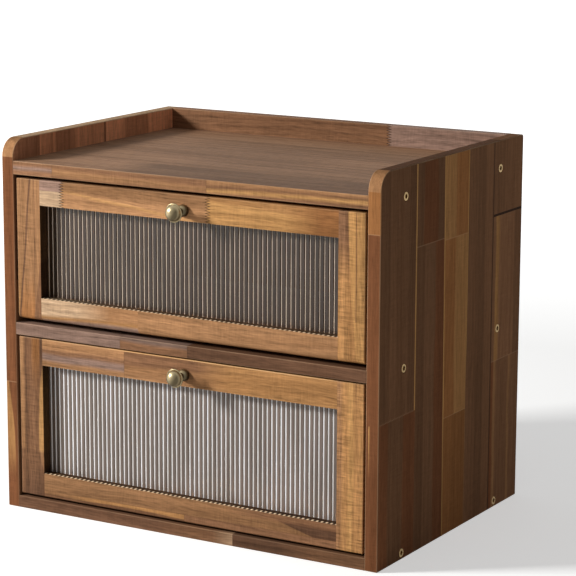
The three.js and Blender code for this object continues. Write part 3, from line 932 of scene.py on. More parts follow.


# For each board the axes along and across its grain, the seed of its grain, and its staves from
# the lowest place to the highest in mm. Some also say how strongly flecks curl across the grain,
# how pale the arrises are rubbed, which is wear and a painted highlight, how strong the grain
# shows, and the tone of a rounded corner.
LAYOUTS = {
    "right_side": {
        "axes": "zy",
        "seed": 12.0,
        "staves": row(
            "y", "plain",
            row(
                "z", "bright",
                row(
                    "z", "fade",
                    "rust-",
                    98, row(
                        "z", "plain",
                        row("x", "plain", "rust", 180.6, "honey", 181.5, "rust"),
                        124.7, "rust",
                    ),
                ),
                285, "amber+",
            ),
            -134.2, row(
                "z", "plain",
                row(
                    "y", "plain",
                    row(
                        "z", "fine",
                        row("y", "soft", "rust", -118, "umber-", -92, "rust"),
                        125.8, row("y", "soft", "umber-", -118, "umber", -84, "umber-"),
                    ),
                    -72.4, row("z", "plain", "rust", 125.8, "honey+"),
                    -70.4, row(
                        "z", "bright",
                        row("y", "soft", "umber-", -55, "umber", -36, "rust"),
                        265, row("y", "soft", "umber-", -58, "rust", -32, "umber-"),
                    ),
                    through((-20.8, 336), (-17.2, 0)), row("z", "fade", "honey", 100, "honey++"),
                    through((-19.0, 336), (-15.4, 0)), row(
                        "z", "bright",
                        row(
                            "z", "bright",
                            row("y", "soft", "amber+", 0, "amber"),
                            106, row("y", "soft", "amber++", 2, "gold+"),
                        ),
                        263, row("y", "soft", "gold+", 2, "amber++"),
                    ),
                    25, row("z", "fade", "tan", 150, "honey+"),
                    26.4, row("y", "soft", "umber+", 44, "umber", 60, "umber++"),
                    74.5, "walnut-",
                    76.6, row(
                        "z", "bright",
                        row(
                            "y", "soft",
                            "rust++", 82, "tan++", 87, "umber++", 112, "tan++", 116, "umber++",
                        ),
                        137, row(
                            "z", "plain",
                            row("y", "soft", "umber++", 82, "gold+", 89, "umber+++", 120, "umber+"),
                            268.8, "bark",
                            271, row("y", "soft", "umber+", 100, "umber++"),
                        ),
                    ),
                ),
                335.4, row("y", "soft", "walnut", 90, "umber"),
            ),
        ),
        "curl": 0.06,
        "rubbed": 0.9,
        "figure": 0.55,
        "corner": "tan+",
    },
    "left_side": {
        "axes": "zy",
        "seed": 11.0,
        "staves": row(
            "y", "plain",
            row(
                "z", "bright",
                row(
                    "x", "grown",
                    row("z", "fade", "rust", 45, "gold-"),
                    through((-187.5, 112), (-183, 73), (-181, 35)), "rust-",
                ),
                116.3, "rust",
            ),
            -134.2, row(
                "z", "plain",
                row(
                    "y", "plain",
                    row(
                        "z", "butt",
                        row("y", "soft", "umber", -100, "rust+"),
                        210, row("y", "soft", "walnut+", -110, "walnut"),
                    ),
                    -80, row(
                        "z", "butt",
                        row("y", "soft", "amber", -60, "umber"),
                        150, row("y", "soft", "rust", -50, "umber-"),
                    ),
                    -30, row("y", "soft", "walnut+", -10, "umber", 8, "walnut+"),
                    24, row(
                        "z", "butt",
                        row("y", "soft", "tan-", 44, "amber"),
                        120, row("y", "soft", "umber", 50, "rust"),
                    ),
                    76, row("y", "soft", "umber", 100, "walnut+", 120, "umber"),
                ),
                314, row(
                    "x", "plain",
                    row(
                        "y", "soft",
                        "walnut+", -110, "walnut", -80, "rust", -50, "umber-", -30, "umber",
                    ),
                    -179, row(
                        "y", "plain",
                        "cedar---",
                        -95, row("y", "soft", "cedar+", -70, "cedar--", -40, "cedar"),
                        6, "cedar-----",
                        9, row("y", "soft", "cedar+", 40, "cedar-", 80, "cedar+"),
                    ),
                ),
                335.4, "sapwood",
            ),
        ),
        "curl": 0.08,
        "rubbed": 0.75,
        "figure": 0.7,
        "corner": "tan+",
    },
    "top_board": {
        "axes": "xy",
        "seed": 3.0,
        "staves": row(
            "y", "glue",
            row(
                "z", "plain",
                row(
                    "x", "butt",
                    row("z", "soft", "umber+", 310, "ash+", 313, "umber+"),
                    -136, row(
                        "z", "soft",
                        "umber+",
                        307, "tan",
                        through((313.5, -136), (311, 20)), "umber+",
                    ),
                    23.5, row(
                        "z", "soft",
                        "umber+",
                        through((306.5, 24), (309, 178)), "honey",
                        through((309.5, 24), (312, 178)), "umber",
                        through((313, 24), (314, 178)), "tan+",
                    ),
                ),
                316.6, row("x", "fade", "dust+", -70, "dust---"),
            ),
            -82, row("x", "fade", "dust", -40, "dust-"),
            -30, row("x", "fade", "dust-", 60, "dust"),
            26, row("x", "fade", "dust", -90, "dust-"),
            78, "dust",
        ),
        "rubbed": 0.6,
        "figure": 0.8,
    },
    "middle_shelf": {
        "axes": "xy",
        "seed": 10.0,
        "staves": row(
            "y", "glue",
            row(
                "x", "butt",
                "ash+",
                -66, row("z", "soft", "umber", 168, "ash-"),
                3.5, row("x", "fade", "walnut", 100, "walnut+"),
            ),
            -78, row("x", "fade", "umber", 30, "walnut+"),
            -22, row("x", "fade", "walnut+", -70, "umber-"),
            34, row("x", "fade", "umber", 80, "ash-"),
            86, "walnut+",
        ),
        "curl": 0.08,
    },
    "bottom_board": {
        "axes": "xy",
        "seed": 17.0,
        "staves": row(
            "y", "glue",
            row(
                "x", "butt",
                row("x", "fade", "walnut++", -10, "umber-", 46, "sapwood--"),
                49, row("x", "fade", "walnut-", 110, "umber--"),
            ),
            -80, row("x", "fade", "umber", -50, "umber-"),
            -24, "walnut+",
            30, row("x", "fade", "rust", 40, "umber"),
            82, "umber",
        ),
        "curl": 0.08,
    },
    "back_panel": {
        "axes": "xz",
        "seed": 29.0,
        "staves": row(
            "z", "glue",
            row("x", "finger", "umber", -60, "walnut+", 70, "rust"),
            46, row("x", "finger", "walnut+", 20, "umber"),
            92, row("x", "finger", "tan-", -90, "umber", 50, "walnut+"),
            140, row("x", "finger", "rust", -20, "amber"),
            188, row("x", "finger", "umber", 80, "walnut+"),
            236, row("x", "finger", "amber", -70, "umber", 60, "tan-"),
            284, row("x", "finger", "umber", 60, "ash++"),
        ),
        "curl": 0.1,
    },
    "door_stile_left": {
        "axes": "zx",
        "seed": 51.0,
        "staves": row(
            "x", "grown",
            row("z", "fade", "gold--", 215, "tan-"),
            through((-160.8, 303), (-173.4, 192)), "walnut+",
            through((-158.9, 303), (-171.6, 192)), row("z", "fade", "amber", 200, "tan-"),
            through((-156.2, 303), (-157.5, 192)), "umber",
            through((-155.4, 303), (-156.6, 192)), "tan",
            through((-150.2, 232), (-158, 183)), "umber",
        ),
        "curl": 0.24,
    },
    "door_stile_right": {
        "axes": "zx",
        "seed": 52.0,
        "staves": row(
            "x", "grown",
            row(
                "x", "soft",
                "gold+",
                through((150.8, 211), (156.3, 178)), row("z", "fade", "gold", 262, "umber"),
            ),
            through((159.7, 303), (161.3, 247), (168.8, 178)), row(
                "z", "grown",
                "honey",
                211, row("x", "plain", "honey", 166.9, "umber", 167.6, "honey-"),
            ),
        ),
        "curl": 0.3,
    },
    "door_rail_top": {
        "axes": "xz",
        "seed": 71.0,
        "staves": row(
            "x", "finger",
            row("z", "glue", "sapwood-", 293, "ash+++"),
            -127.1, row(
                "z", "soft",
                "tan+",
                through((286.5, -64), (280.5, -8)), "honey",
                through((288, -64), (282, -8)), "tan+",
                through((294, -127), (291, 24)), "tan-",
            ),
            24, row(
                "x", "fade",
                row("z", "soft", "honey", through((299, 24), (293, 120)), "gold"),
                116, "amber",
            ),
        ),
        "curl": 0.07,
    },
    "door_rail_bottom": {
        "axes": "xz",
        "seed": 74.0,
        "staves": row(
            "x", "plain",
            row(
                "z", "soft",
                "ash++",
                through((178, -150), (180, -48)), "gold",
                through((181, -150), (183, -48)), row("x", "fade", "sapwood", -96, "tan+"),
            ),
            -47.6, row(
                "z", "grown",
                "tan",
                through((188.7, -18), (190.3, 50)), row("x", "plain", "tan+", 50, "tan"),
                191, "tan",
            ),
        ),
        "curl": 0.1,
    },
    "drawer_stile_left": {
        "axes": "zx",
        "seed": 60.0,
        "staves": row(
            "z", "soft",
            row(
                "x", "soft",
                "umber",
                -172, row("z", "fade", "walnut", 30, "umber-"),
                through((-150.4, 40), (-154.8, 57)), "tan",
            ),
            56, row(
                "x", "soft",
                "tan-",
                -170.8, "walnut",
                -168.8, "umber-",
                -162, row(
                    "z", "fade",
                    row(
                        "x", "grown",
                        "umber",
                        through((-150.2, 136), (-155.3, 67), (-151.5, 30)), "honey-",
                    ),
                    126, row("x", "grown", "amber-", -153.5, "walnut"),
                ),
            ),
        ),
        "curl": 0.2,
    },
    "drawer_stile_right": {
        "axes": "zx",
        "seed": 61.0,
        "staves": row("x", "soft", "tan", 155, "gold", 161, "honey", 166, "gold"),
        "curl": 0.36,
    },
    "drawer_rail_top": {
        "axes": "xz",
        "seed": 80.0,
        "staves": row(
            "z", "plain",
            row(
                "x", "butt",
                row("z", "soft", "tan", 140, "ash+", 146.5, "umber+", 151, "tan+"),
                -62.4, row(
                    "x", "fade",
                    row("z", "soft", "tan", through((146, -62), (150, 30)), "umber+"),
                    30, "gold",
                ),
            ),
            # The topmost strip, honey from -80 to 146 mm, is a painted highlight along the top edge
            158.4, row("x", "grown", "gold", -80, "honey+", 146, "gold"),
        ),
        "curl": 0.1,
        # Its arrises are as pale as they go, wear and a painted highlight
        "rubbed": 1.0,
    },
    "drawer_rail_bottom": {
        "axes": "xz",
        "seed": 83.0,
        "staves": row(
            "z", "glue",
            row(
                "x", "butt",
                row("z", "grown", "umber-", 16.4, row("x", "fade", "tan-", -110, "gold")),
                -1, "umber+",
            ),
            through((19.6, -150), (20.6, 150)), row(
                "z", "soft",
                row("x", "soft", "tan--", through((96, 29), (122, 22)), "walnut"),
                29.5, row("x", "fade", "tan-", 60, "umber+"),
            ),
        ),
    },
    "level_bead": {"axes": "xz", "seed": 81.0, "staves": "tan"},
    "upright_bead": {"axes": "zx", "seed": 84.0, "staves": "tan"},
    "drawer_side": {
        "axes": "yz",
        "seed": 91.0,
        "staves": row(
            "z", "glue",
            row("y", "finger", "tan", -20, "gold", 60, "tan+"),
            58, row("y", "finger", "gold", 20, "tan"),
            100, row("y", "finger", "tan+", -60, "amber+", 40, "gold"),
        ),
    },
    "drawer_back": {
        "axes": "xz",
        "seed": 95.0,
        "staves": row("z", "glue", row("x", "finger", "tan", -30, "gold-", 60, "tan"), 80, "gold"),
    },
    "drawer_floor": {
        "axes": "xy",
        "seed": 99.0,
        "staves": row("y", "glue", "tan", -60, "gold", 0, "tan+", 60, "gold"),
    },
    "runner": {"axes": "yz", "seed": 103.0, "staves": "tan"},
    "stop": {"axes": "xz", "seed": 107.0, "staves": "tan-"},
}


def board_material(name, ledge=None):
    """The wood of a board or of a kind of board, by its layout."""
    return wood_material(f"{name}_wood", ledge=ledge, **LAYOUTS[name])


# The carcass screws: how far the countersunk head reaches, the shank, how the rim is eased, and
# the hexagon socket
SCREW_NECK = 3 * MM
SCREW_SHANK = 2.5 * MM
SCREW_EASE = 0.35 * MM
SOCKET_SIDES = 6
SOCKET_RADIUS = 2.2 * MM
SOCKET_DEPTH = 2.2 * MM


def carcass_screw_nodes():
    """The screws through the sides and the back."""
    return sorted(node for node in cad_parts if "_screw_" in node and "knob" not in node)


def screw_frame(node):
    """Where a carcass screw starts, which way it runs, and its head radius and length."""
    low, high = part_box(node)
    size = high - low
    number = max(range(3), key=lambda axis: size[axis])
    axis = Vector((0, 0, 0))
    middle = (low + high) / 2
    axis[number] = -1 if middle[number] > 0 else 1
    start = middle.copy()
    start[number] = high[number] if middle[number] > 0 else low[number]
    radius = min(size[other] for other in range(3) if other != number) / 2
    return start, axis, radius, size[number]


def drill_for_screws(piece, boards):
    """Drill a board for the carcass screws that pass through it or end in it."""
    clearance = settings()["wood"].hole_clearance
    steps = settings()["metal"].turning_steps // 2
    for node in carcass_screw_nodes():
        if any(board in node for board in boards):
            start, axis, radius, length = screw_frame(node)
            outline = [
                (radius + clearance, -CUT_PAST),
                (radius + clearance, 0),
                (SCREW_SHANK + clearance, SCREW_NECK),
                (SCREW_SHANK + clearance, length + clearance),
            ]
            cut_with(piece, new_turning("cutter", start, axis, outline, steps))


# Operators, one for each group of like pieces, with the materials that only they use


def background_rays(tree):
    """One for the rays that show the background: the camera's, and those off metal and glass."""
    light = step(tree, "ShaderNodeLightPath")
    seen = maths(tree, "MAXIMUM", light.outputs["Is Camera Ray"], light.outputs["Is Glossy Ray"])
    return maths(tree, "MAXIMUM", seen, light.outputs["Is Transmission Ray"])


class BREADBOX_OT_stage(bpy.types.Operator):
    """Make the floor, the lamp, the world and the camera"""

    bl_idname = "breadbox.stage"
    bl_label = "Stage"
    bl_options = {"REGISTER", "UNDO"}

    SENSOR_WIDTH = 36
    VIEW_END = 50
    FLOOR_SIZE = 12
    # How far from the box the floor's glow starts to grow, and where it is full
    GLOW_START = 0.7
    GLOW_FULL = 1.8
    KEY_AIM = (0, 0, 0.15)

    def execute(self, context):
        look = settings()["stage"]
        self.add_camera(context, look)
        self.add_floor(look)
        self.add_world(context, look)
        self.add_key(look)
        context.scene.view_settings.view_transform = "Standard"
        return {"FINISHED"}

    def add_camera(self, context, look):
        yaw, pitch, roll = look.yaw, look.pitch, look.roll
        forward = Vector(
            (-math.sin(yaw) * math.cos(pitch), math.cos(yaw) * math.cos(pitch), -math.sin(pitch))
        )
        right = Vector((math.cos(yaw), math.sin(yaw), 0))
        up = right.cross(forward)
        turned_right = right * math.cos(roll) + up * math.sin(roll)
        turned_up = turned_right.cross(forward)
        bpy.ops.object.camera_add()
        camera = context.object
        camera.name = "camera"
        camera.data.lens = look.lens
        camera.data.sensor_width = self.SENSOR_WIDTH
        camera.data.clip_end = self.VIEW_END
        turn = Matrix((turned_right, turned_up, -forward)).transposed().to_4x4()
        camera.matrix_world = Matrix.Translation(Vector(look.camera_place)) @ turn
        context.scene.camera = camera

    def add_floor(self, look):
        """The floor keeps the box's shadow, and glows white to the camera further out."""
        deselect_all()
        bpy.ops.mesh.primitive_plane_add(size=self.FLOOR_SIZE, location=(0, 0, 0))
        floor = bpy.context.object
        floor.name = "floor"
        surface = {
            "Base Color": linear(look.floor),
            "Roughness": 0.9,
            "IOR": 1.2,
            "Emission Color": (1, 1, 1, 1),
        }
        material, tree, shader = new_material("pale_floor", surface)
        distance = step(
            tree, "ShaderNodeVectorMath", {0: object_place(tree)}, operation="LENGTH"
        ).outputs["Value"]
        glow = remapped(tree, distance, self.GLOW_START, self.GLOW_FULL, look.glow, 1.0)
        glow = maths(tree, "MULTIPLY", background_rays(tree), glow)
        fill_inputs(tree, shader, {"Emission Strength": glow})
        floor.data.materials.append(material)

    def add_world(self, context, look):
        world = bpy.data.worlds.new("studio")
        world.use_nodes = True
        tree = world.node_tree
        tree.nodes.clear()
        strength = mixed_value(tree, background_rays(tree), look.ambient, 1.0)
        sky = step(tree, "ShaderNodeBackground", {"Color": (1, 1, 1, 1), "Strength": strength})
        step(tree, "ShaderNodeOutputWorld", {"Surface": sky.outputs[0]})
        context.scene.world = world

    def add_key(self, look):
        deselect_all()
        bpy.ops.object.light_add(type="AREA", location=look.key_place)
        lamp = bpy.context.object
        lamp.name = "key"
        lamp.data.energy = look.key_power
        lamp.data.size = look.key_size
        aim = Vector(self.KEY_AIM) - Vector(look.key_place)
        lamp.rotation_euler = aim.to_track_quat("-Z", "Y").to_euler()


class BREADBOX_OT_side_boards(bpy.types.Operator):
    """Model the two side boards with their rounded upper corners and their holes"""

    bl_idname = "breadbox.side_boards"
    bl_label = "Side boards"
    bl_options = {"REGISTER", "UNDO"}

    FRONT_ROUND = 16 * MM
    REAR_ROUND = 2.5 * MM
    REAR_STEPS = 6
    # A face of the front round leans forward and up at least by this part of its normal, and
    # sideways by less than the other
    LEAST_LEAN = 0.02
    MOST_ASIDE = 0.5

    def execute(self, context):
        wood = settings()["wood"]
        for side in ("left", "right"):
            node = f"{side}_side"
            low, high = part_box(node)
            piece = new_block(f"{node}_board", low, high)
            round_edge(piece, high.z, low.y, self.FRONT_ROUND, wood.corner_steps)
            round_edge(piece, high.z, high.y, self.REAR_ROUND, self.REAR_STEPS)
            ease_edges(piece, [], wood.arris)
            mark_faces(piece, "corner", self.is_rounded)
            drill_for_screws(piece, [f"side_screw_{side}"])
            drill_for_pin(piece, side)
            smooth_shallow(piece, "wood")
            finish_piece(piece, "carcass", node, [board_material(node)])
        return {"FINISHED"}

    def is_rounded(self, face):
        """Whether a face lies on the round between the front edge and the top."""
        aside, back, up = face.normal
        return -back > self.LEAST_LEAN and up > self.LEAST_LEAN and abs(aside) < self.MOST_ASIDE


class BREADBOX_OT_level_boards(bpy.types.Operator):
    """Model the top board, the middle shelf and the bottom board"""

    bl_idname = "breadbox.level_boards"
    bl_label = "Level boards"
    bl_options = {"REGISTER", "UNDO"}

    def execute(self, context):
        arris = settings()["wood"].arris
        for node, level, slot in (
            ("top_board", "top", "top_board"),
            ("middle_shelf", "middle", "shelf_board"),
            ("bottom_board", "bottom", "shelf_board"),
        ):
            piece = new_board(node, f"{node}_planks", arris, "x low", "x high", "y high")
            screws = [f"side_screw_{side}_{level}" for side in ("left", "right")]
            drill_for_screws(piece, [*screws, f"back_screw_{level}"])
            smooth_shallow(piece, "wood")
            finish_piece(piece, "carcass", node, [board_material(node)])
        return {"FINISHED"}


class BREADBOX_OT_back_panel(bpy.types.Operator):
    """Model the back panel"""

    bl_idname = "breadbox.back_panel"
    bl_label = "Back panel"
    bl_options = {"REGISTER", "UNDO"}

    def execute(self, context):
        arris = settings()["wood"].arris
        piece = new_board("back_panel", "back_panel_planks", arris, "x low", "x high")
        drill_for_screws(piece, ["back_screw"])
        smooth_shallow(piece, "wood")
        material = board_material("back_panel")
        finish_piece(piece, "carcass", "back_panel", [material])
        return {"FINISHED"}


class BREADBOX_OT_front_frames(bpy.types.Operator):
    """Model the stiles and rails of the door and of the drawer's front"""

    bl_idname = "breadbox.front_frames"
    bl_label = "Front frames"
    bl_options = {"REGISTER", "UNDO"}

    UNDER_ROUND = {"door": 5 * MM, "drawer": 1.5 * MM}
    UNDER_STEPS = 8
    SHEET_ROOM = 0.3 * MM

    def execute(self, context):
        for front in ("door", "drawer"):
            for side in ("left", "right"):
                self.add_member(front, "stile", side)
            for level in ("top", "bottom"):
                self.add_member(front, "rail", level)
        return {"FINISHED"}

    def add_member(self, front, kind, place):
        wood = settings()["wood"]
        node = f"{front}_{kind}_{place}"
        low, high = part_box(node)
        stile_low, stile_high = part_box(f"{front}_stile_left")
        if kind == "rail":
            # Its tenons are out of sight, so it ends at the stiles
            low.x = stile_high.x
            high.x = -stile_high.x
            inner_axis = "z"
            inner = low.z if place == "top" else high.z
            joints = [("x", low.x), ("x", high.x), ("z", inner)]
        else:
            inner_axis = "x"
            inner = high.x if place == "left" else low.x
            joints = [("x", inner)]
        piece = new_block(f"{node}_wood", low, high)
        if place != "top":
            round_edge(piece, stile_low.z, low.y, self.UNDER_ROUND[front], self.UNDER_STEPS)
        ease_edges(piece, joints, wood.arris)
        if kind == "rail":
            round_edge(piece, inner, low.y, wood.window_arris, ARRIS_STEPS, rubbed=True)
        sheet_low, sheet_high = grown(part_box(f"{front}_window"), self.SHEET_ROOM)
        cut_box(piece, sheet_low, (sheet_high.x, high.y + CUT_PAST, sheet_high.z))
        if front == "door" and kind == "stile":
            drill_for_pin(piece, place)
        number = AXES[inner_axis]
        # The faces inside the window are marked for painted shade, and the bottom rail's ledge also
        # for painted dots of light
        mark_faces(piece, "recess", lambda face: abs(face.center[number] - inner) < SAME_PLACE)
        smooth_shallow(piece, "wood")
        ledge = low.y if place == "bottom" else None
        finish_piece(piece, front, node, [board_material(node, ledge)])


def clear_sheet_material(front):
    """Clear plastic; lamps shine through it, so that what is behind is lit."""
    look = settings()["window"]
    material, tree, shader = new_material(
        f"{front}_clear_sheet",
        {
            "Base Color": linear(look.tint),
            "Transmission Weight": 1.0,
            "IOR": look.bending,
            "Metallic": 0.0,
            "Specular IOR Level": getattr(look, f"{front}_veil"),
        },
    )
    smears = noise(tree, object_place(tree), 60.0, 3.0)
    rough = remapped(tree, smears, 0.4, 0.7, look.roughness * 0.6, look.roughness * 1.6)
    fill_inputs(tree, shader, {"Roughness": rough, "Alpha": lamp_light(tree, 0.45)})
    return material


def strip_material(front, kind, clear):
    """A strip of a rib with light painted into its colour: sheet that is partly clear, coloured as a
    painted highlight for a glint, and as painted light and shade for a flute shading.
    """
    material, tree, shader = new_material(
        f"{front}_rib_{kind}",
        {
            "Transmission Weight": clear,
            "IOR": 1.45,
            "Metallic": 0.0,
            "Roughness": 0.3,
            "Specular IOR Level": 0.1,
        },
    )
    colour = getattr(settings()["window"], f"{front}_{kind}")
    uprights = vector_maths(tree, "MULTIPLY", object_place(tree), (90.0, 90.0, 9.0))
    uneven = remapped(tree, noise(tree, uprights, 1.0, 3.0), 0.35, 0.65)
    paint = mixed_colour(tree, uneven, linear(colour, 0.85), linear(colour, 1.3))
    fill_inputs(tree, shader, {"Base Color": paint, "Alpha": lamp_light(tree, 0.4)})
    return material


class BREADBOX_OT_windows(bpy.types.Operator):
    """Model the fluted clear sheets, rib by rib"""

    bl_idname = "breadbox.windows"
    bl_label = "Fluted windows"
    bl_options = {"REGISTER", "UNDO"}

    # How clear the strips of painted highlight and painted shading are, and how deep behind the
    # crests they reach
    GLINT_CLEAR = 0.1
    PAINTED_FLUTE_SHADING_CLEAR = 0.55
    STRIP_DEPTH = MM
    # Corners of neighbouring facets nearer than this are one
    MERGE = 0.01 * MM

    def execute(self, context):
        look = settings()["window"]
        for front in ("door", "drawer"):
            node = f"{front}_window"
            piece = self.fluted_sheet(f"{node}_sheet", *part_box(node))
            clear = clear_sheet_material(front)
            glint = strip_material(front, "glint", self.GLINT_CLEAR)
            bloom = strip_material(front, "bloom", self.PAINTED_FLUTE_SHADING_CLEAR)
            finish_piece(piece, front, node, [clear, glint, bloom])
            ends = [getattr(look, f"{front}_glint_{end}") for end in ("start", "end")]
            self.paint_strips(piece, 1, *ends)
            self.paint_strips(piece, 2, look.painted_flute_shading_start, look.painted_flute_shading_end)
        return {"FINISHED"}

    def paint_strips(self, piece, slot, start, end):
        """Give the strip between two shares of each rib's width its own finish."""
        pitch = settings()["window"].rib_pitch
        first = -int(piece.dimensions.x / pitch) * pitch / 2
        deepest = min(vertex.co.y for vertex in piece.data.vertices) + self.STRIP_DEPTH
        start_editing(piece, "FACE")

        def is_in_strip(face):
            middle = face.calc_center_median()
            return start < ((middle.x - first) / pitch) % 1 < end and middle.y < deepest

        select_where(piece, "faces", is_in_strip)
        piece.active_material_index = slot
        bpy.ops.object.material_slot_assign()
        stop_editing()

    def fluted_sheet(self, name, low, high):
        """One rib's face is spun as an arc, flattened, repeated, and given its thickness."""
        look = settings()["window"]
        count = int((high.x - low.x) / look.rib_pitch)
        start = -count * look.rib_pitch / 2
        half_arc = look.rib_arc / 2
        radius = (look.rib_pitch - look.valley) / 2 / math.sin(half_arc)
        centre = Vector((start + look.rib_pitch / 2, low.y, low.z))
        begin = centre - Vector((radius * math.sin(half_arc), radius * math.cos(half_arc), 0))
        deselect_all()
        bpy.ops.mesh.primitive_plane_add(size=1, location=(0, 0, 0))
        piece = named_piece(name)
        start_editing(piece, "VERT", "SELECT")
        bpy.ops.mesh.merge(type="CENTER")
        bpy.ops.transform.translate(value=begin)
        bpy.ops.mesh.extrude_region_move(TRANSFORM_OT_translate={"value": (0, 0, high.z - low.z)})
        bpy.ops.mesh.select_all(action="SELECT")
        bpy.ops.mesh.spin(steps=look.rib_steps, angle=look.rib_arc, center=centre, axis=Z_AXIS)
        stop_editing()
        self.settle_rib(piece, low.y, look.rib_depth)
        repeat = piece.modifiers.new("ribs", "ARRAY")
        repeat.count = count
        repeat.use_relative_offset = False
        repeat.use_constant_offset = True
        repeat.constant_offset_displace = (look.rib_pitch, 0, 0)
        make_active(piece)
        bpy.ops.object.modifier_apply(modifier=repeat.name)
        self.give_thickness(piece, low, high)
        return piece

    def settle_rib(self, piece, front, depth):
        """Flatten the arc to the rib's depth and set its crest in the plane of the sheet's face."""
        near = min(vertex.co.y for vertex in piece.data.vertices)
        far = max(vertex.co.y for vertex in piece.data.vertices)
        start_editing(piece, "VERT", "SELECT")
        bpy.ops.transform.resize(value=(1, depth / (far - near), 1), center_override=(0, near, 0))
        bpy.ops.transform.translate(value=(0, front - near, 0))
        stop_editing()

    def give_thickness(self, piece, low, high):
        """Close the valleys, carry the ends to the sheet's edges and extrude to the flat back."""
        start_editing(piece, "VERT", "SELECT")
        bpy.ops.mesh.remove_doubles(threshold=self.MERGE)
        stop_editing()
        self.bridge_valleys(piece)
        self.reach_edges(piece, low.x, high.x)
        start_editing(piece, "FACE", "SELECT")
        bpy.ops.mesh.extrude_region_move(TRANSFORM_OT_translate={"value": (0, high.y - low.y, 0)})
        bpy.ops.transform.resize(value=(1, 0, 1), center_override=(0, high.y, 0))
        bpy.ops.mesh.select_all(action="SELECT")
        bpy.ops.mesh.normals_make_consistent(inside=False)
        stop_editing()
        smooth_shallow(piece, "sheet")

    def open_edges(self, piece):
        """The upright open edges, from left to right."""
        mesh = bmesh.from_edit_mesh(piece.data)
        found = [edge for edge in mesh.edges if edge.is_boundary and runs_along(edge, "z")]
        return mesh, sorted(found, key=lambda edge: edge.verts[0].co.x)

    def bridge_valleys(self, piece):
        """Join each rib's last edge to the first edge of the next rib."""
        start_editing(piece, "EDGE")
        mesh, edges = self.open_edges(piece)
        for first, second in zip(edges[1:-1:2], edges[2:-1:2]):
            bmesh.ops.bridge_loops(mesh, edges=[first, second])
        bmesh.update_edit_mesh(piece.data)
        stop_editing()

    def reach_edges(self, piece, low_x, high_x):
        """Extrude the first and the last rib's edge as plain strips to the sheet's ends."""
        for end, place in ((0, low_x), (-1, high_x)):
            start_editing(piece, "EDGE")
            mesh, edges = self.open_edges(piece)
            edge = edges[end]
            reach = place - edge.verts[0].co.x
            edge.select_set(True)
            mesh.select_flush_mode()
            bmesh.update_edit_mesh(piece.data)
            bpy.ops.mesh.extrude_region_move(TRANSFORM_OT_translate={"value": (reach, 0, 0)})
            stop_editing()


class BREADBOX_OT_window_beads(bpy.types.Operator):
    """Model the beads that hold the windows from behind"""

    bl_idname = "breadbox.window_beads"
    bl_label = "Window beads"
    bl_options = {"REGISTER", "UNDO"}

    def execute(self, context):
        arris = settings()["wood"].window_arris
        level = board_material("level_bead")
        upright = board_material("upright_bead")
        beads = {"top": level, "bottom": level, "left": upright, "right": upright}
        for front in ("door", "drawer"):
            for side, material in beads.items():
                node = f"{front}_bead_{side}"
                piece = new_board(node, f"{node}_strip", arris, "y low")
                finish_piece(piece, front, node, [material])
        return {"FINISHED"}


class BREADBOX_OT_drawer_box(bpy.types.Operator):
    """Model the drawer's sides, back and floor behind its front"""

    bl_idname = "breadbox.drawer_box"
    bl_label = "Drawer box"
    bl_options = {"REGISTER", "UNDO"}

    def execute(self, context):
        wood = settings()["wood"]
        room = wood.hole_clearance
        side_wood = board_material("drawer_side")
        for side in ("left", "right"):
            node = f"drawer_side_{side}"
            low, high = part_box(node)
            piece = new_board(node, f"{node}_wood", wood.arris, "y low")
            groove_low, groove_high = grown(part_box(f"drawer_runner_{side}"), room)
            groove_low.y = low.y - CUT_PAST
            groove_high.y = high.y + CUT_PAST
            cut_box(piece, groove_low, groove_high)
            cut_box(piece, *grown(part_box("drawer_floor"), room))
            cut_box(piece, *grown(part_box("drawer_back"), room))
            finish_piece(piece, "drawer", node, [side_wood])
        piece = new_board("drawer_back", "drawer_back_wood_panel", wood.arris, "x low", "x high")
        cut_box(piece, *grown(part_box("drawer_floor"), room))
        back_wood = board_material("drawer_back")
        finish_piece(piece, "drawer", "drawer_back", [back_wood])
        piece = new_board("drawer_floor", "drawer_floor_wood_panel", wood.window_arris)
        floor_wood = board_material("drawer_floor")
        finish_piece(piece, "drawer", "drawer_floor", [floor_wood])
        return {"FINISHED"}


class BREADBOX_OT_runners_and_stop(bpy.types.Operator):
    """Model the strips that carry the drawer and the block that stops it"""

    bl_idname = "breadbox.runners_and_stop"
    bl_label = "Runners and stop"
    bl_options = {"REGISTER", "UNDO"}

    def execute(self, context):
        runner_wood = board_material("runner")
        for node, material in (
            ("drawer_runner_left", runner_wood),
            ("drawer_runner_right", runner_wood),
            ("drawer_stop", board_material("stop")),
        ):
            piece = new_board(node, f"{node}_strip", settings()["wood"].window_arris)
            finish_piece(piece, "carcass", node, [material])
        return {"FINISHED"}


def metal_material(name, colour, roughness, patina=0.3):
    """Metal with fine wear: cloudy patina, uneven gloss and faint scratches."""
    material, tree, shader = new_material(name, {"Metallic": 1.0})
    place = object_place(tree)
    cloudy = noise(tree, place, 260.0, 4.0, 0.65)
    dark = remapped(tree, cloudy, 0.45, 0.75, 0.0, patina)
    colour = mixed_colour(tree, dark, linear(colour), linear(settings()["metal"].patina))
    rough = remapped(tree, cloudy, 0.3, 0.7, roughness * 0.8, roughness * 1.35)
    normal = bump(tree, noise(tree, place, 1800.0), 0.15, 0.05 * MM)
    fill_inputs(tree, shader, {"Base Color": colour, "Roughness": rough, "Normal": normal})
    return material


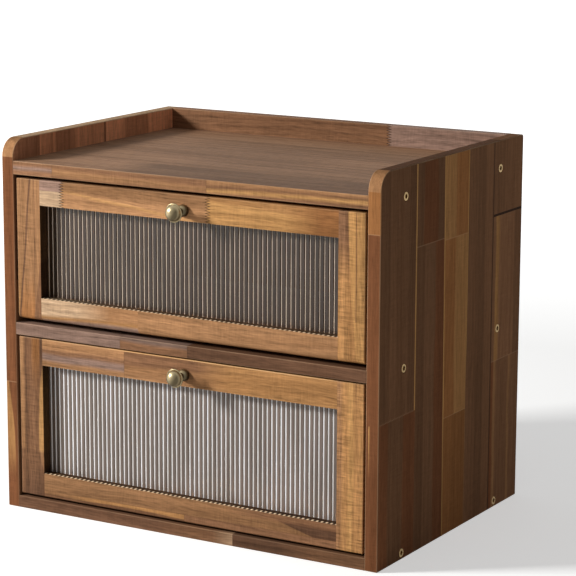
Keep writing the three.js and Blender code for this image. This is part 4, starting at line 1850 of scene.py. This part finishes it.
def knob_material(name, front):
    """Antique brass with cloudy patina, dark in the hollow behind the head, and painted shade on the
    rim, in the groove, on the dome's right and most on the base below its middle.
    """
    look = settings()["metal"]
    low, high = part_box(f"{front}_knob")
    middle = (low + high) / 2
    material, tree, shader = new_material(name, {"Metallic": 1.0})
    place = object_place(tree)
    split = step(tree, "ShaderNodeSeparateXYZ", {0: place})
    across = maths(tree, "SUBTRACT", split.outputs["X"], middle.x)
    upward = maths(tree, "SUBTRACT", split.outputs["Z"], middle.z)
    squares = [maths(tree, "POWER", value, 2.0) for value in (across, upward)]
    radius = maths(tree, "SQRT", maths(tree, "ADD", *squares))
    depth = maths(tree, "SUBTRACT", split.outputs["Y"], low.y)

    # Dark behind the head: patina in the hollow, and painted shade that is strongest below the middle
    behind = remapped(tree, depth, 6.4 * MM, 7.4 * MM, 0.0, 0.8)
    below = remapped(tree, upward, 1.5 * MM, 4.5 * MM, 1.0, 0.25)
    behind = maths(tree, "MULTIPLY", behind, below)
    # Painted shade on the rim, and in a fine groove where the dome meets it
    rim = remapped(tree, radius, 7.7 * MM, 8.1 * MM, 0.0, 0.6)
    groove = maths(tree, "ABSOLUTE", maths(tree, "SUBTRACT", radius, 7.5 * MM))
    groove = remapped(tree, groove, 0.0, 0.4 * MM, 0.4, 0.0)
    # Painted shade darkens the dome to the right of a slanted line, but not near its edge
    slanted = maths(tree, "SUBTRACT", across, maths(tree, "MULTIPLY", upward, 0.6))
    right = remapped(tree, slanted, -5.5 * MM, 3.5 * MM, 0.0, 0.85)
    right = maths(tree, "MULTIPLY", right, remapped(tree, radius, 5.6 * MM, 7.6 * MM, 1.0, 0.15))
    cloudy = noise(tree, place, 420.0, 4.0, 0.6)
    dark = remapped(tree, cloudy, 0.4, 0.7, 0.0, 0.6)
    for shade in (behind, groove, right, rim):
        dark = maths(tree, "MAXIMUM", dark, shade)

    # The patina colour paints both the patina and the painted shade
    colour = mixed_colour(tree, dark, linear(look.brass), linear(look.patina))
    rough = remapped(tree, cloudy, 0.3, 0.7, 0.3, 0.44)
    normal = bump(tree, noise(tree, place, 1500.0), 0.12, 0.05 * MM)
    fill_inputs(tree, shader, {"Base Color": colour, "Roughness": rough, "Normal": normal})
    return material


class BREADBOX_OT_knobs(bpy.types.Operator):
    """Turn the two brass knobs and the screws that hold them"""

    bl_idname = "breadbox.knobs"
    bl_label = "Knobs"
    bl_options = {"REGISTER", "UNDO"}

    # The dome's height and how far it starts behind the rim's face, the length of the flare behind
    # the head, the base's straight edge and how it is eased, and the bore
    DOME = 5.8 * MM
    DOME_SUNK = 0.3 * MM
    FLARE = 3.6 * MM
    BASE_RIM = 1.0 * MM
    BASE_EASE = 0.3 * MM
    BORE_DEPTH = 10 * MM
    BORE_RADIUS = 2.05 * MM
    # The screw's shank and the height of its head, and the half width, the depth and the reach of
    # its cross, the reach as a share of the head's radius
    SHANK = 1.75 * MM
    HEAD_HEIGHT = 2.5 * MM
    CROSS_HALF = 0.55 * MM
    CROSS_DEPTH = 1.2 * MM
    CROSS_REACH = 0.62

    def execute(self, context):
        steel = metal_material("knob_screw_steel", settings()["metal"].steel, 0.3)
        for front in ("door", "drawer"):
            self.add_knob(front)
            self.add_screw(front, steel)
        return {"FINISHED"}

    def add_knob(self, front):
        look = settings()["metal"]
        node = f"{front}_knob"
        low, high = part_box(node)
        length = high.y - low.y
        head = (high.z - low.z) / 2
        start = ((low.x + high.x) / 2, high.y, (low.z + high.z) / 2)
        rim_front = length - self.DOME
        rim_back = rim_front - look.knob_rim
        bead = look.knob_rim / 2
        hollow = head - bead - look.knob_neck
        neck_angle = math.degrees(math.acos(look.knob_neck / look.knob_base))
        dome_start = rim_front - self.DOME_SUNK
        dome_size = (head - 1.5 * bead, self.DOME + self.DOME_SUNK)
        outline = [
            (look.knob_base - self.BASE_EASE, 0),
            (look.knob_base, self.BASE_EASE),
            *arc((0, self.BASE_RIM), (look.knob_base, look.knob_base), 0, neck_angle, 14),
            *arc((look.knob_neck + hollow, rim_back - self.FLARE), (hollow, self.FLARE), 180, 96, 12),
            *arc((head - bead, rim_back + bead), (bead, bead), -90, 110, 12),
            *arc((0, dome_start), dome_size, 4, 88, 18),
            (0, length),
        ]
        piece = new_turning(f"{node}_brass", start, -Y_AXIS, outline, look.turning_steps)
        bore = [(self.BORE_RADIUS, -CUT_PAST), (self.BORE_RADIUS, self.BORE_DEPTH)]
        cut_with(piece, new_turning("cutter", start, -Y_AXIS, bore, SMALL_STEPS))
        smooth_shallow(piece, "knob")
        finish_piece(piece, front, node, [knob_material(f"{node}_finish", front)])

    def add_screw(self, front, material):
        node = f"{front}_knob_screw"
        low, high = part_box(node)
        head = (high.z - low.z) / 2
        seat = high.y - low.y - self.HEAD_HEIGHT
        start = ((low.x + high.x) / 2, low.y, (low.z + high.z) / 2)
        crown = (head * 0.45, seat + self.HEAD_HEIGHT * 0.4)
        outline = [
            (self.SHANK * 0.7, 0),
            (self.SHANK, self.SHANK * 0.4),
            (self.SHANK, seat),
            (head, seat),
            *arc(crown, (head * 0.55, self.HEAD_HEIGHT * 0.6), 0, 90, 8),
        ]
        piece = new_turning(f"{node}_steel", start, Y_AXIS, outline, SMALL_STEPS)
        reach = head * self.CROSS_REACH
        for wide, tall in ((reach, self.CROSS_HALF), (self.CROSS_HALF, reach)):
            cut_box(
                piece,
                (start[0] - wide, high.y - self.CROSS_DEPTH, start[2] - tall),
                (start[0] + wide, high.y + CUT_PAST, start[2] + tall),
            )
        smooth_shallow(piece, "knob")
        finish_piece(piece, front, node, [material])


class BREADBOX_OT_carcass_screws(bpy.types.Operator):
    """Model one hexagon-socket screw and set a copy in each hole of the carcass"""

    bl_idname = "breadbox.carcass_screws"
    bl_label = "Carcass screws"
    bl_options = {"REGISTER", "UNDO"}

    def execute(self, context):
        look = settings()["metal"]
        bronze = metal_material("screw_bronze", look.bronze, 0.34)
        nodes = carcass_screw_nodes()
        pattern = self.model_screw(nodes[0], look.turning_steps // 2)
        for node in nodes:
            start, axis, _, _ = screw_frame(node)
            piece = bpy.data.objects.new(f"{node}_bolt", pattern.data.copy())
            bpy.context.scene.collection.objects.link(piece)
            turn = Z_AXIS.rotation_difference(axis).to_matrix().to_4x4()
            piece.matrix_world = Matrix.Translation(start) @ turn
            make_active(piece)
            bpy.ops.object.transform_apply(location=True, rotation=True, scale=True)
            finish_piece(piece, "carcass", node, [bronze])
        bpy.data.objects.remove(pattern)
        return {"FINISHED"}

    def model_screw(self, node, steps):
        """A screw of a node's size, upright and with its head at the origin."""
        _, _, radius, length = screw_frame(node)
        outline = [
            (radius - SCREW_EASE, 0),
            (radius, SCREW_EASE),
            (SCREW_SHANK, SCREW_NECK),
            (SCREW_SHANK, length - SCREW_SHANK),
            (SCREW_SHANK * 0.3, length),
        ]
        pattern = new_turning("screw_pattern", (0, 0, 0), Z_AXIS, outline, steps)
        socket = [(SOCKET_RADIUS, -CUT_PAST), (SOCKET_RADIUS, SOCKET_DEPTH)]
        cut_with(pattern, new_turning("cutter", (0, 0, 0), Z_AXIS, socket, SOCKET_SIDES))
        smooth_shallow(pattern, "screw")
        return pattern


class BREADBOX_OT_hinge_pins(bpy.types.Operator):
    """Turn the two pins that the door swings on"""

    bl_idname = "breadbox.hinge_pins"
    bl_label = "Hinge pins"
    bl_options = {"REGISTER", "UNDO"}

    EASE = 0.4 * MM

    def execute(self, context):
        steel = metal_material("pin_steel", settings()["metal"].steel, 0.28, 0.15)
        for side in ("left", "right"):
            node = f"hinge_pin_{side}"
            low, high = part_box(node)
            radius = (high.z - low.z) / 2
            length = high.x - low.x
            start = (low.x, (low.y + high.y) / 2, (low.z + high.z) / 2)
            outline = [
                (radius - self.EASE, 0),
                (radius, self.EASE),
                (radius, length - self.EASE),
                (radius - self.EASE, length),
            ]
            piece = new_turning(f"{node}_steel", start, X_AXIS, outline, SMALL_STEPS)
            smooth_shallow(piece, "pin")
            finish_piece(piece, "carcass", node, [steel])
        return {"FINISHED"}


def moulded_material():
    """Brown moulded plastic with a fine grainy texture."""
    look = settings()["metal"]
    material, tree, shader = new_material("moulded_brown", {"IOR": 1.46})
    place = object_place(tree)
    grainy = noise(tree, place, 2200.0)
    cloudy = noise(tree, place, 120.0)
    colour = mixed_colour(tree, cloudy, linear(look.case, 0.85), linear(look.case, 1.15))
    rough = remapped(tree, grainy, 0.3, 0.7, 0.42, 0.6)
    normal = bump(tree, grainy, 0.3, 0.05 * MM)
    fill_inputs(tree, shader, {"Base Color": colour, "Roughness": rough, "Normal": normal})
    return material


def magnet_material():
    """Dull dark ferrite with a grainy broken look."""
    look = settings()["metal"]
    material, tree, shader = new_material("ferrite", {"IOR": 1.6})
    grainy = noise(tree, object_place(tree), 900.0, 4.0, 0.7)
    colour = mixed_colour(tree, grainy, linear(look.magnet, 0.6), linear(look.magnet, 1.6))
    rough = remapped(tree, grainy, 0.3, 0.7, 0.5, 0.75)
    normal = bump(tree, grainy, 0.4, 0.08 * MM)
    fill_inputs(tree, shader, {"Base Color": colour, "Roughness": rough, "Normal": normal})
    return material


class BREADBOX_OT_catch(bpy.types.Operator):
    """Model the magnetic catch: case, magnet, strike plate and their screws"""

    bl_idname = "breadbox.catch"
    bl_label = "Magnetic catch"
    bl_options = {"REGISTER", "UNDO"}

    # The width of each round and its number of facets
    CASE_ROUND = (0.9 * MM, 4)
    MAGNET_ROUND = (0.35 * MM, 3)
    PLATE_CORNER = (2 * MM, 6)
    PLATE_ROUND = (0.3 * MM, 2)
    # The screws: radii of head and shank, depth of the countersunk head, its ease, and its slot
    HEAD = 2.6 * MM
    SHANK = 1.4 * MM
    HEAD_DEPTH = 1.1 * MM
    HEAD_EASE = 0.2 * MM
    SLOT_HALF = 0.35 * MM
    SLOT_DEPTH = 0.7 * MM

    def execute(self, context):
        look = settings()["metal"]
        steel = metal_material("catch_steel", look.steel, 0.32, 0.15)
        room = settings()["wood"].hole_clearance
        low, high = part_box("catch_case")
        case = new_block("catch_case_shell", low, high)
        bevel_edges(case, lambda edge: not lies_in(edge, "z", high.z), *self.CASE_ROUND)
        cut_box(case, *grown(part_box("catch_magnet"), room))
        cut_with(case, self.screw_hole("catch_screw", Z_AXIS, room))
        smooth_shallow(case, "catch")
        finish_piece(case, "carcass", "catch_case", [moulded_material()])
        magnet = new_block("catch_magnet_block", *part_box("catch_magnet"))
        bevel_edges(magnet, lambda edge: True, *self.MAGNET_ROUND)
        smooth_shallow(magnet, "catch")
        finish_piece(magnet, "carcass", "catch_magnet", [magnet_material()])
        self.add_screw("catch_screw", "carcass", Z_AXIS, steel)
        plate_low, plate_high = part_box("door_strike_plate")
        plate = new_block("door_strike_plate_steel", plate_low, plate_high)
        bevel_edges(plate, lambda edge: runs_along(edge, "y"), *self.PLATE_CORNER)
        bevel_edges(plate, lambda edge: lies_in(edge, "y", plate_high.y), *self.PLATE_ROUND)
        cut_with(plate, self.screw_hole("door_strike_screw", -Y_AXIS, room))
        smooth_shallow(plate, "catch")
        finish_piece(plate, "door", "door_strike_plate", [steel])
        self.add_screw("door_strike_screw", "door", -Y_AXIS, steel)
        return {"FINISHED"}

    def screw_line(self, node, axis):
        """Where the screw of a node starts, its length, and its axis without a sign."""
        low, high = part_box(node)
        unsigned = Vector([abs(value) for value in axis])
        half = unsigned.dot(high - low) / 2
        return (low + high) / 2 - axis * half, 2 * half, unsigned

    def screw_hole(self, node, axis, room):
        """A cutter for the hole of a screw, with room round it."""
        start, length, _ = self.screw_line(node, axis)
        outline = [
            (self.HEAD + room, -CUT_PAST),
            (self.HEAD + room, 0),
            (self.SHANK + room, self.HEAD_DEPTH),
            (self.SHANK + room, length),
        ]
        return new_turning("cutter", start, axis, outline, SMALL_STEPS)

    def add_screw(self, node, body, axis, material):
        start, length, unsigned = self.screw_line(node, axis)
        outline = [
            (self.HEAD - self.HEAD_EASE, 0),
            (self.HEAD, self.HEAD_EASE),
            (self.SHANK, self.HEAD_DEPTH),
            (self.SHANK, length - self.SHANK),
            (self.SHANK * 0.2, length),
        ]
        piece = new_turning(f"{node}_steel", start, axis, outline, SMALL_STEPS)
        across = Y_AXIS if unsigned.z > 0 else Z_AXIS
        size = X_AXIS * (self.HEAD + MM) + across * self.SLOT_HALF + unsigned * self.SLOT_DEPTH
        cut_box(piece, start - size, start + size)
        smooth_shallow(piece, "catch")
        finish_piece(piece, body, node, [material])


# The add-on


OPERATORS = (
    BREADBOX_OT_stage,
    BREADBOX_OT_side_boards,
    BREADBOX_OT_level_boards,
    BREADBOX_OT_back_panel,
    BREADBOX_OT_front_frames,
    BREADBOX_OT_windows,
    BREADBOX_OT_window_beads,
    BREADBOX_OT_drawer_box,
    BREADBOX_OT_runners_and_stop,
    BREADBOX_OT_knobs,
    BREADBOX_OT_carcass_screws,
    BREADBOX_OT_hinge_pins,
    BREADBOX_OT_catch,
)


class BREADBOX_PT_panel(bpy.types.Panel):
    """Lists the pieces of the bread box and the settings they use"""

    bl_idname = "BREADBOX_PT_panel"
    bl_label = "Bread box"
    bl_space_type = "VIEW_3D"
    bl_region_type = "UI"
    bl_category = "Bread box"

    def draw(self, context):
        pieces = self.layout.column(align=True)
        for operator in OPERATORS:
            pieces.operator(operator.bl_idname)
        for group in settings().values():
            box = self.layout.box()
            for name in group.bl_rna.properties.keys():
                if name not in ("rna_type", "name"):
                    box.prop(group, name)


PROPERTY_GROUPS = {
    "bread_box_tones": WoodColours,
    "bread_box_wood": WoodSizes,
    "bread_box_window": WindowLook,
    "bread_box_metal": MetalLook,
    "bread_box_stage": StageLook,
}


def register():
    for name, group in PROPERTY_GROUPS.items():
        bpy.utils.register_class(group)
        setattr(bpy.types.Scene, name, PointerProperty(type=group))
    for operator in OPERATORS:
        bpy.utils.register_class(operator)
    bpy.utils.register_class(BREADBOX_PT_panel)


def unregister():
    bpy.utils.unregister_class(BREADBOX_PT_panel)
    for operator in reversed(OPERATORS):
        bpy.utils.unregister_class(operator)
    for name, group in PROPERTY_GROUPS.items():
        delattr(bpy.types.Scene, name)
        bpy.utils.unregister_class(group)


def main():
    register()
    build_joint_group()
    build_grain_group()
    bpy.ops.breadbox.stage()
    bpy.ops.breadbox.side_boards()
    bpy.ops.breadbox.level_boards()
    bpy.ops.breadbox.back_panel()
    bpy.ops.breadbox.front_frames()
    bpy.ops.breadbox.windows()
    bpy.ops.breadbox.window_beads()
    bpy.ops.breadbox.drawer_box()
    bpy.ops.breadbox.runners_and_stop()
    bpy.ops.breadbox.knobs()
    bpy.ops.breadbox.carcass_screws()
    bpy.ops.breadbox.hinge_pins()
    bpy.ops.breadbox.catch()


if __name__ == "__main__":
    main()
